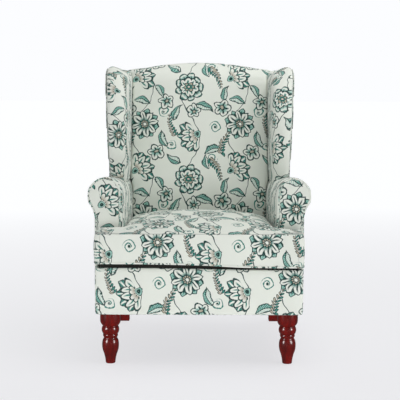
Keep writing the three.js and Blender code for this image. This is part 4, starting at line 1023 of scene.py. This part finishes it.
def makeWing(hand):
    side = sidePieces[hand]
    piece = softCopy("wing_pad_" + hand, "wingPad_" + hand, sidePieces["voxel"], sidePieces["wingRounds"])
    slopeWingTop(piece)
    reachBack(piece)
    lowerFoot(piece, sidePieces["wingFootDrop"])
    x, y, z = np.abs(getPoints(piece).T)
    held = np.maximum.reduce([smoothStep(x, 0.315, 0.325), smoothStep(y, 0.30, 0.33), smoothStep(0.62 - z, 0, 0.02)])
    inflate(piece, held, sidePieces["pressure"], sidePieces["cap"])
    subdivide(piece)

    def corners(points, normals, faces):
        inner = np.abs(points[:, 0]) - 0.2585
        out = normals[:, 1:]
        size = np.linalg.norm(out, axis=1)
        out = out / np.maximum(size, 1e-6)[:, None]
        out = out * smoothStep(size, 0.1, 0.5)[:, None]
        laid = points[:, 1:] + out * inner[:, None]
        return laid * np.array([side, 1])

    addCloth(piece, floralCloth, corners, (0.10 if side > 0 else 0.23, 0.06))
    finishPiece(piece, "chair", "floral_fabric", "wing_pad_" + hand, fill=sidePieces["fill"])
    outer = softCopy("outside_wing_" + hand, "outsideWing_" + hand, *sidePieces["wingCover"])
    lowerFoot(outer, sidePieces["wingCoverDrop"])
    reachBack(outer)
    addCloth(outer, floralCloth, boxedCorners, (0.02, 0.15))
    finishPiece(outer, "chair", "floral_fabric", "outside_wing_" + hand, fill=sidePieces["coverFill"])


def makeArm(hand):
    side = sidePieces[hand]
    piece = softCopy("arm_pad_" + hand, "armPad_" + hand, sidePieces["voxel"], sidePieces["armRounds"])
    fillScroll(piece)
    settleArm(piece)
    x, y, z = np.abs(getPoints(piece).T)
    held = np.maximum.reduce([smoothStep(x, 0.352, 0.366), smoothStep(y, 0.205, 0.225), smoothStep(0.36 - z, 0, 0.02),
                              smoothStep(x, 0.325, 0.34) * smoothStep(0.55 - z, 0, 0.02)])
    inflate(piece, held, sidePieces["pressure"], sidePieces["cap"])
    subdivide(piece)
    centre, radius = sidePieces["scrollCentre"], sidePieces["scrollRadius"]
    line = [(0.243, 0.325), (0.2605, 0.560)]
    line += [(centre[0] - radius * math.cos(turn), centre[1] + radius * math.sin(turn))
             for turn in np.radians(range(15, 226, 15))]
    line += [(0.330, 0.505), (0.330, 0.45)]

    def corners(points, normals, faces):
        along = lengthAlong(np.abs(points[:, 0]), points[:, 2], line)
        return np.stack([points[:, 1] * side, along], axis=1)

    addCloth(piece, floralCloth, corners, (0.04 if side > 0 else 0.19, 0.03))
    finishPiece(piece, "chair", "floral_fabric", "arm_pad_" + hand, fill=sidePieces["fill"])
    facing = softCopy("arm_facing_" + hand, "armFacing_" + hand, *sidePieces["facing"])
    fillScroll(facing, sidePieces["weltLift"])
    points = getPoints(facing)
    drop = sidePieces["facingDrop"][0] + sidePieces["facingDrop"][1] * smoothStep(np.abs(points[:, 0]), 0.29, 0.31)
    points[:, 2] -= drop * smoothStep(0.40 - points[:, 2], 0, 0.05)
    setPoints(facing, points)
    addCloth(facing, floralCloth, boxedCorners, (0.30, 0.30) if side > 0 else (0.21, 0.11))
    finishPiece(facing, "chair", "floral_fabric", "arm_facing_" + hand, fill=sidePieces["coverFill"])
    roll = softCopy("arm_welt_" + hand, "armWelt_" + hand, *sidePieces["welt"])
    fillScroll(roll, sidePieces["weltLift"])
    addCloth(roll, floralCloth, boxedCorners, (0.13, 0.05))
    finishPiece(roll, "chair", "floral_fabric", "arm_welt_" + hand)
    outer = softCopy("outside_arm_" + hand, "outsideArm_" + hand, *sidePieces["armCover"])
    standProud(outer, 0.335, 0.350)
    # its top front corner goes up behind the facing
    points = getPoints(outer)
    atFront = smoothStep(-points[:, 1], 0.19, 0.23)
    topRise, frontRise = sidePieces["armCoverRise"]
    points[:, 2] += (topRise + frontRise * atFront) * smoothStep(points[:, 2], 0.45, 0.49)
    points[:, 1] -= sidePieces["armCoverReach"] * atFront
    setPoints(outer, points)
    addCloth(outer, floralCloth, boxedCorners, (0.08, 0.10))
    finishPiece(outer, "chair", "floral_fabric", "outside_arm_" + hand, fill=sidePieces["coverFill"])


for hand in ("left", "right"):
    makeWing(hand)
    makeArm(hand)
print("wings and arms made")


# Front border, which turns both front corners; its top sinks under the cushion, further at the sitter's left
frontBorderSettings = {"voxel": 0.007, "rounds": 3, "sink": (0.004, 0.005), "rearReach": 0.006, "fill": 0.95}


def makeFrontBorder():
    made = frontBorderSettings
    piece = softCopy("front_border", "frontBorder", made["voxel"], made["rounds"])
    standProud(piece, 0.29, 0.335)
    points = getPoints(piece)
    x, y, z = points.T
    sink = made["sink"][0] + made["sink"][1] * smoothStep(x, -0.25, 0.30)
    points[:, 2] -= sink * smoothStep(z, 0.28, 0.334) * smoothStep(-y, 0.33, 0.365)
    points[:, 1] += made["rearReach"] * smoothStep(y, -0.262, -0.242)
    setPoints(piece, points)
    subdivide(piece)
    addCloth(piece, floralCloth, boxedCorners, (0.31, 0.17))
    finishPiece(piece, "chair", "floral_fabric", "front_border", fill=made["fill"])


makeFrontBorder()


outsideBackSettings = {"voxel": 0.0055, "rounds": 2, "topRise": 0.005, "fill": 0.95}


def makeOutsideBack():
    made = outsideBackSettings
    piece = softCopy("outside_back", "outsideBack", made["voxel"], made["rounds"])
    points = getPoints(piece)
    points[:, 2] += made["topRise"] * smoothStep(points[:, 2], 0.86, 0.92)
    setPoints(piece, points)
    addCloth(piece, floralCloth, boxedCorners, (0.17, 0.20))
    finishPiece(piece, "chair", "floral_fabric", "outside_back", fill=made["fill"])


makeOutsideBack()


# Deck, with its rim pulled down inside the border
seatDeckSettings = {"voxel": 0.006, "rounds": 4, "rimDrop": 0.011, "fill": 0.8}


def makeSeatDeck():
    made = seatDeckSettings
    piece = softCopy("seat_deck", "seatDeck", made["voxel"], made["rounds"])
    points = getPoints(piece)
    x, y, z = points.T
    rim = np.maximum(smoothStep(np.abs(x), 0.30, 0.32), smoothStep(-y, 0.335, 0.355)) * smoothStep(-y, 0.20, 0.23)
    points[:, 2] -= made["rimDrop"] * rim * smoothStep(0.334 - z, 0, 0.006)
    setPoints(piece, points)
    piece.data.materials.append(deckCloth)
    finishPiece(piece, "chair", "deck_fabric", "seat_deck", fill=made["fill"])


makeSeatDeck()

# Dust cover: black cloth stapled under the rails, notched round the legs
dustCoverSettings = {
    "notch": 0.092,
    "thick": 0.0007,
    "sag": 0.004,
    "edgeCells": 12,        # of the grid, across a notch
    "middleCells": 60,      # and between two notches
    "pitch": 0.048,         # between staples
    "stapleInset": 0.008,
    "stapleEnds": (0.11, 0.10),     # no staples nearer the corners
    "stapleDrop": 0.0032,
    "puckerDepth": 0.0010,    # the edge puckers between staples
    "staple": (0.011, 0.0012, 0.0007),
}


# The grid's lines, spaced so that two of them run along the notches
def notchedLines(size):
    notch = dustCoverSettings["notch"]
    edge, middle = dustCoverSettings["edgeCells"] + 1, dustCoverSettings["middleCells"] + 1
    return np.concatenate([np.linspace(0, notch, edge), np.linspace(notch, size - notch, middle)[1:],
                           np.linspace(size - notch, size, edge)[1:]])


def makeDustCover():
    made = dustCoverSettings
    low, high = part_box("dust_cover")
    width, length = high[0] - low[0], high[1] - low[1]
    middle = (low[1] + high[1]) / 2
    cells = 2 * made["edgeCells"] + made["middleCells"]
    bpy.ops.mesh.primitive_grid_add(x_subdivisions=cells, y_subdivisions=cells, size=1, location=(0, 0, 0))
    cover = bpy.context.object
    cover.name = "dustCover"
    points = getPoints(cover)
    steps = np.round((points[:, :2] + 0.5) * cells).astype(int)
    x = low[0] + notchedLines(width)[steps[:, 0]]
    y = low[1] + notchedLines(length)[steps[:, 1]]
    inside = np.minimum.reduce([x - low[0], high[0] - x, y - low[1], high[1] - y])
    hang = smoothStep(inside, 0.03, 0.20) * made["sag"]
    edge = (1 - smoothStep(inside, 0.0, 0.045)) * made["puckerDepth"]
    ripple = np.cos((x + y) * math.tau / made["pitch"]) * np.cos((x - y) * math.tau / made["pitch"])
    z = high[2] - made["thick"] - hang - edge * (1 - ripple)
    setPoints(cover, np.stack([x, y, z], axis=1))
    choose(cover)
    bpy.ops.object.mode_set(mode="EDIT")
    bpy.ops.mesh.select_mode(type="FACE")
    bpy.ops.mesh.select_all(action="DESELECT")
    bpy.ops.object.mode_set(mode="OBJECT")
    for face in cover.data.polygons:
        nearX = width / 2 - abs(face.center[0]) < made["notch"]
        nearY = length / 2 - abs(face.center[1] - middle) < made["notch"]
        face.select = nearX and nearY
    bpy.ops.object.mode_set(mode="EDIT")
    bpy.ops.mesh.delete(type="FACE")
    bpy.ops.object.mode_set(mode="OBJECT")
    applyModifier(cover, "SOLIDIFY", thickness=made["thick"], offset=-1.0)
    cover.data.materials.append(dustCloth)
    finishPiece(cover, "chair", "dust_cloth", "dust_cover")
    bars = []
    first, last = made["stapleEnds"]
    for edgeX in (low[0] + made["stapleInset"], high[0] - made["stapleInset"]):
        bars += [(edgeX, place, 90) for place in np.arange(low[1] + first, high[1] - last, made["pitch"])]
    for edgeY in (low[1] + made["stapleInset"], high[1] - made["stapleInset"]):
        bars += [(place, edgeY, 0) for place in np.arange(low[0] + first, high[0] - last, made["pitch"])]
    bpy.ops.object.select_all(action="DESELECT")
    placed = []
    for x, y, turn in bars:
        bpy.ops.mesh.primitive_cube_add(size=1, location=(x, y, high[2] - made["stapleDrop"]),
                                        rotation=(0, 0, math.radians(turn)))
        bpy.context.object.scale = made["staple"]
        placed.append(bpy.context.object)
    for staple in placed:
        staple.select_set(True)
    bpy.context.view_layer.objects.active = placed[0]
    bpy.ops.object.join()
    bpy.ops.object.transform_apply(location=True, rotation=True, scale=True)
    staples = bpy.context.object
    staples.name = "dustCoverStaples"
    staples.data.materials.append(springSteel)
    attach(staples, "chair")


makeDustCover()
print("covers made")

# Turned front legs: the turner's marks as shares of the widest radius and of the height, from the floor end
frontLegSettings = {
    "centre": (0.296, -0.3255),
    "bottom": 0.0012,
    "height": 0.1715,
    "radius": 0.0345,
    "steps": 64,
    "marks": [(0.43, 0), (0.47, 0.012), (0.484, 0.035), (0.5, 0.066), (0.534, 0.107), (0.579, 0.148),
              (0.634, 0.19), (0.7, 0.225), (0.755, 0.26), (0.797, 0.305), (0.815, 0.355), (0.805, 0.405),
              (0.765, 0.45), (0.7, 0.48), (0.64, 0.505), (0.705, 0.533), (0.728, 0.553), (0.71, 0.573),
              (0.69, 0.58), (0.77, 0.6), (0.835, 0.635), (0.85, 0.665), (0.835, 0.695), (0.79, 0.72),
              (0.735, 0.737), (0.8, 0.753), (0.9, 0.78), (0.97, 0.812), (1, 0.86), (0.995, 0.93), (0.97, 1)],
}


# A smooth course through the marks, eased between them
def turnedProfile(marks, perSpan):
    marks = np.array(marks)
    courses = []
    for index in range(len(marks) - 1):
        before = marks[max(index - 1, 0)]
        start, end = marks[index], marks[index + 1]
        after = marks[min(index + 2, len(marks) - 1)]
        for step in range(perSpan):
            t = step / perSpan
            courses.append(0.5 * (2 * start + (end - before) * t + (2 * before - 5 * start + 4 * end - after) * t ** 2
                                  + (3 * start - before - 3 * end + after) * t ** 3))
    courses.append(marks[-1])
    return courses


def makeFrontLeg(hand):
    made = frontLegSettings
    x, y = made["centre"][0] * sidePieces[hand], made["centre"][1]
    profile = turnedProfile(made["marks"], 3)
    outline = [(0.0, 0.0)] + [tuple(mark) for mark in profile] + [(0.0, 1.0)]
    bpy.ops.mesh.primitive_circle_add(vertices=len(outline), radius=0.02, location=(x, y, 0.1))
    piece = bpy.context.object
    piece.name = "frontLeg_" + hand
    bpy.ops.object.transform_apply(location=True, rotation=True, scale=True)
    for vertex, (share, height) in zip(piece.data.vertices, outline):
        vertex.co = (x + share * made["radius"], y, made["bottom"] + height * made["height"])
    bpy.ops.object.mode_set(mode="EDIT")
    bpy.ops.mesh.select_all(action="SELECT")
    bpy.ops.mesh.spin(steps=made["steps"], angle=math.tau, center=(x, y, 0), axis=(0, 0, 1), dupli=False)
    bpy.ops.mesh.select_all(action="SELECT")
    bpy.ops.mesh.remove_doubles(threshold=0.00002)
    bpy.ops.mesh.delete_loose()
    bpy.ops.mesh.select_all(action="SELECT")
    bpy.ops.mesh.normals_make_consistent(inside=False)
    bpy.ops.object.mode_set(mode="OBJECT")
    piece.data.materials.append(lacqueredWood)
    bpy.ops.object.shade_smooth_by_angle(angle=math.radians(50))
    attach(piece, "chair")
    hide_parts("front_leg_" + hand)


# Square rear legs with eased edges
rearLegSettings = {"footDrop": 0.003, "easedEdge": 0.0025}


def makeRearLeg(hand):
    mesh = frame["nodes"]["rear_leg_" + hand].data.copy()
    piece = bpy.data.objects.new("rearLeg_" + hand, mesh)
    mesh.materials.clear()
    mesh.materials.append(lacqueredWood)
    bpy.context.scene.collection.objects.link(piece)
    points = getPoints(piece)
    points[:, 2] -= rearLegSettings["footDrop"] * smoothStep(0.05 - points[:, 2], 0, 0.04)
    setPoints(piece, points)
    choose(piece)
    bpy.ops.object.mode_set(mode="EDIT")
    bpy.ops.mesh.select_all(action="SELECT")
    bpy.ops.mesh.remove_doubles(threshold=0.00005)
    bpy.ops.mesh.dissolve_limited(angle_limit=math.radians(1))
    bpy.ops.object.mode_set(mode="OBJECT")
    applyModifier(piece, "BEVEL", width=rearLegSettings["easedEdge"], segments=3, limit_method="ANGLE",
                  angle_limit=math.radians(40))
    choose(piece)
    bpy.ops.object.shade_smooth_by_angle(angle=math.radians(35))
    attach(piece, "chair")
    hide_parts("rear_leg_" + hand)
    print(piece.name, len(piece.data.polygons), "faces")


for hand in ("left", "right"):
    makeFrontLeg(hand)
    makeRearLeg(hand)
print("legs made")


# Pale floor, which fades into the white of the studio, and soft light
studio = {
    "floorTone": seen(240, 240, 243),
    "farTone": seen(252, 253, 255),
    "floorGlow": 0.72,          # share of the floor's brightness that shadows don't reach
    "fadeCentre": (0.6, -1.4, 0),
    "fadeFrom": 0.8,            # metres from there
    "fadeTo": 6.0,
    "roomLight": 0.45,
    "mirrored": 0.2,            # of the room's light, in polished things
    # name, place, width, height, power
    "softboxes": [("softboxLeft", (-3.4, -1.8, 2.0), 1.2, 1.2, 4), ("softboxRight", (3.4, -1.8, 2.0), 1.2, 1.2, 14),
                  ("overhead", (0.9, -0.4, 3.1), 2.4, 2.4, 41)],
    # a low, narrow beam on the base
    "frontFill": ("frontFill", (0, -1.9, 0.12), 1.8, 0.3, 1.45),
    "fillAim": 0.12,            # metres above the floor
    "fillSpread": 60,           # degrees
    # tall strips that only polished things show
    "gleams": [("gleamLeft", (-3.1, -2.3, 1.25), 1.3, 2.1, 120), ("gleamRight", (3.1, -2.3, 1.25), 1.3, 2.1, 120)],
}


def makeStage():
    bpy.ops.mesh.primitive_plane_add(size=120, location=(0, 0, 0))
    floor = bpy.context.object
    floor.name = "studioFloor"
    material, tree, shader = newMaterial("floorPaper", Roughness=0.5, Specular_IOR_Level=0.3)
    place = addNode(tree, "ShaderNodeTexCoord").outputs["Object"]
    speck = addNode(tree, "ShaderNodeTexNoise", {"Vector": place, "Scale": 40.0, "Detail": 2.0}).outputs[0]
    away = calcVector(tree, "LENGTH", calcVector(tree, "SUBTRACT", place, studio["fadeCentre"]))
    far = addNode(tree, "ShaderNodeMapRange", {0: away, 1: studio["fadeFrom"], 2: studio["fadeTo"]}).outputs[0]
    tone = mixColour(tree, far, studio["floorTone"], studio["farTone"])
    tone = scaleVector(tree, tone, calc(tree, "ADD", 0.995, calc(tree, "MULTIPLY", speck, 0.01)))
    glow = calc(tree, "ADD", studio["floorGlow"], calc(tree, "MULTIPLY", far, 1 - studio["floorGlow"]))
    feed(tree, shader.inputs["Emission Color"], scaleVector(tree, tone, glow))
    feed(tree, shader.inputs["Base Color"], scaleVector(tree, tone, calc(tree, "SUBTRACT", 1.0, glow)))
    shader.inputs["Emission Strength"].default_value = 1.0
    floor.data.materials.append(material)
    floor.visible_glossy = False


makeStage()


def addLight(name, place, width, height, power, gleam, aim=0.5, spread=180):
    data = bpy.data.lights.new(name, "AREA")
    data.shape = "RECTANGLE"
    data.energy = power
    data.size = width
    data.size_y = height
    data.spread = math.radians(spread)
    lamp = bpy.data.objects.new(name, data)
    lamp.location = place
    lamp.rotation_euler = (Vector((0, 0, aim)) - Vector(place)).to_track_quat("-Z", "Y").to_euler()
    lamp.visible_glossy = gleam
    lamp.visible_diffuse = not gleam
    lamp.visible_camera = False
    bpy.context.scene.collection.objects.link(lamp)


for softbox in studio["softboxes"]:
    addLight(*softbox, gleam=False)
addLight(*studio["frontFill"], gleam=False, aim=studio["fillAim"], spread=studio["fillSpread"])
for strip in studio["gleams"]:
    addLight(*strip, gleam=True)
world = bpy.context.scene.world or bpy.data.worlds.new("studioAir")
bpy.context.scene.world = world
world.use_nodes = True
# the far wall is seen white, but lights the chair less, and the room is dark in what the lacquer mirrors
air = world.node_tree
rays = addNode(air, "ShaderNodeLightPath").outputs
onCloth = (studio["roomLight"],) * 3 + (1.0,)
inLacquer = (studio["roomLight"] * studio["mirrored"],) * 3 + (1.0,)
room = mixColour(air, rays["Is Glossy Ray"], onCloth, inLacquer)
feed(air, air.nodes["Background"].inputs["Color"], mixColour(air, rays["Is Camera Ray"], room, studio["farTone"]))
bpy.context.scene.view_settings.view_transform = "Standard"
print("studio lit")

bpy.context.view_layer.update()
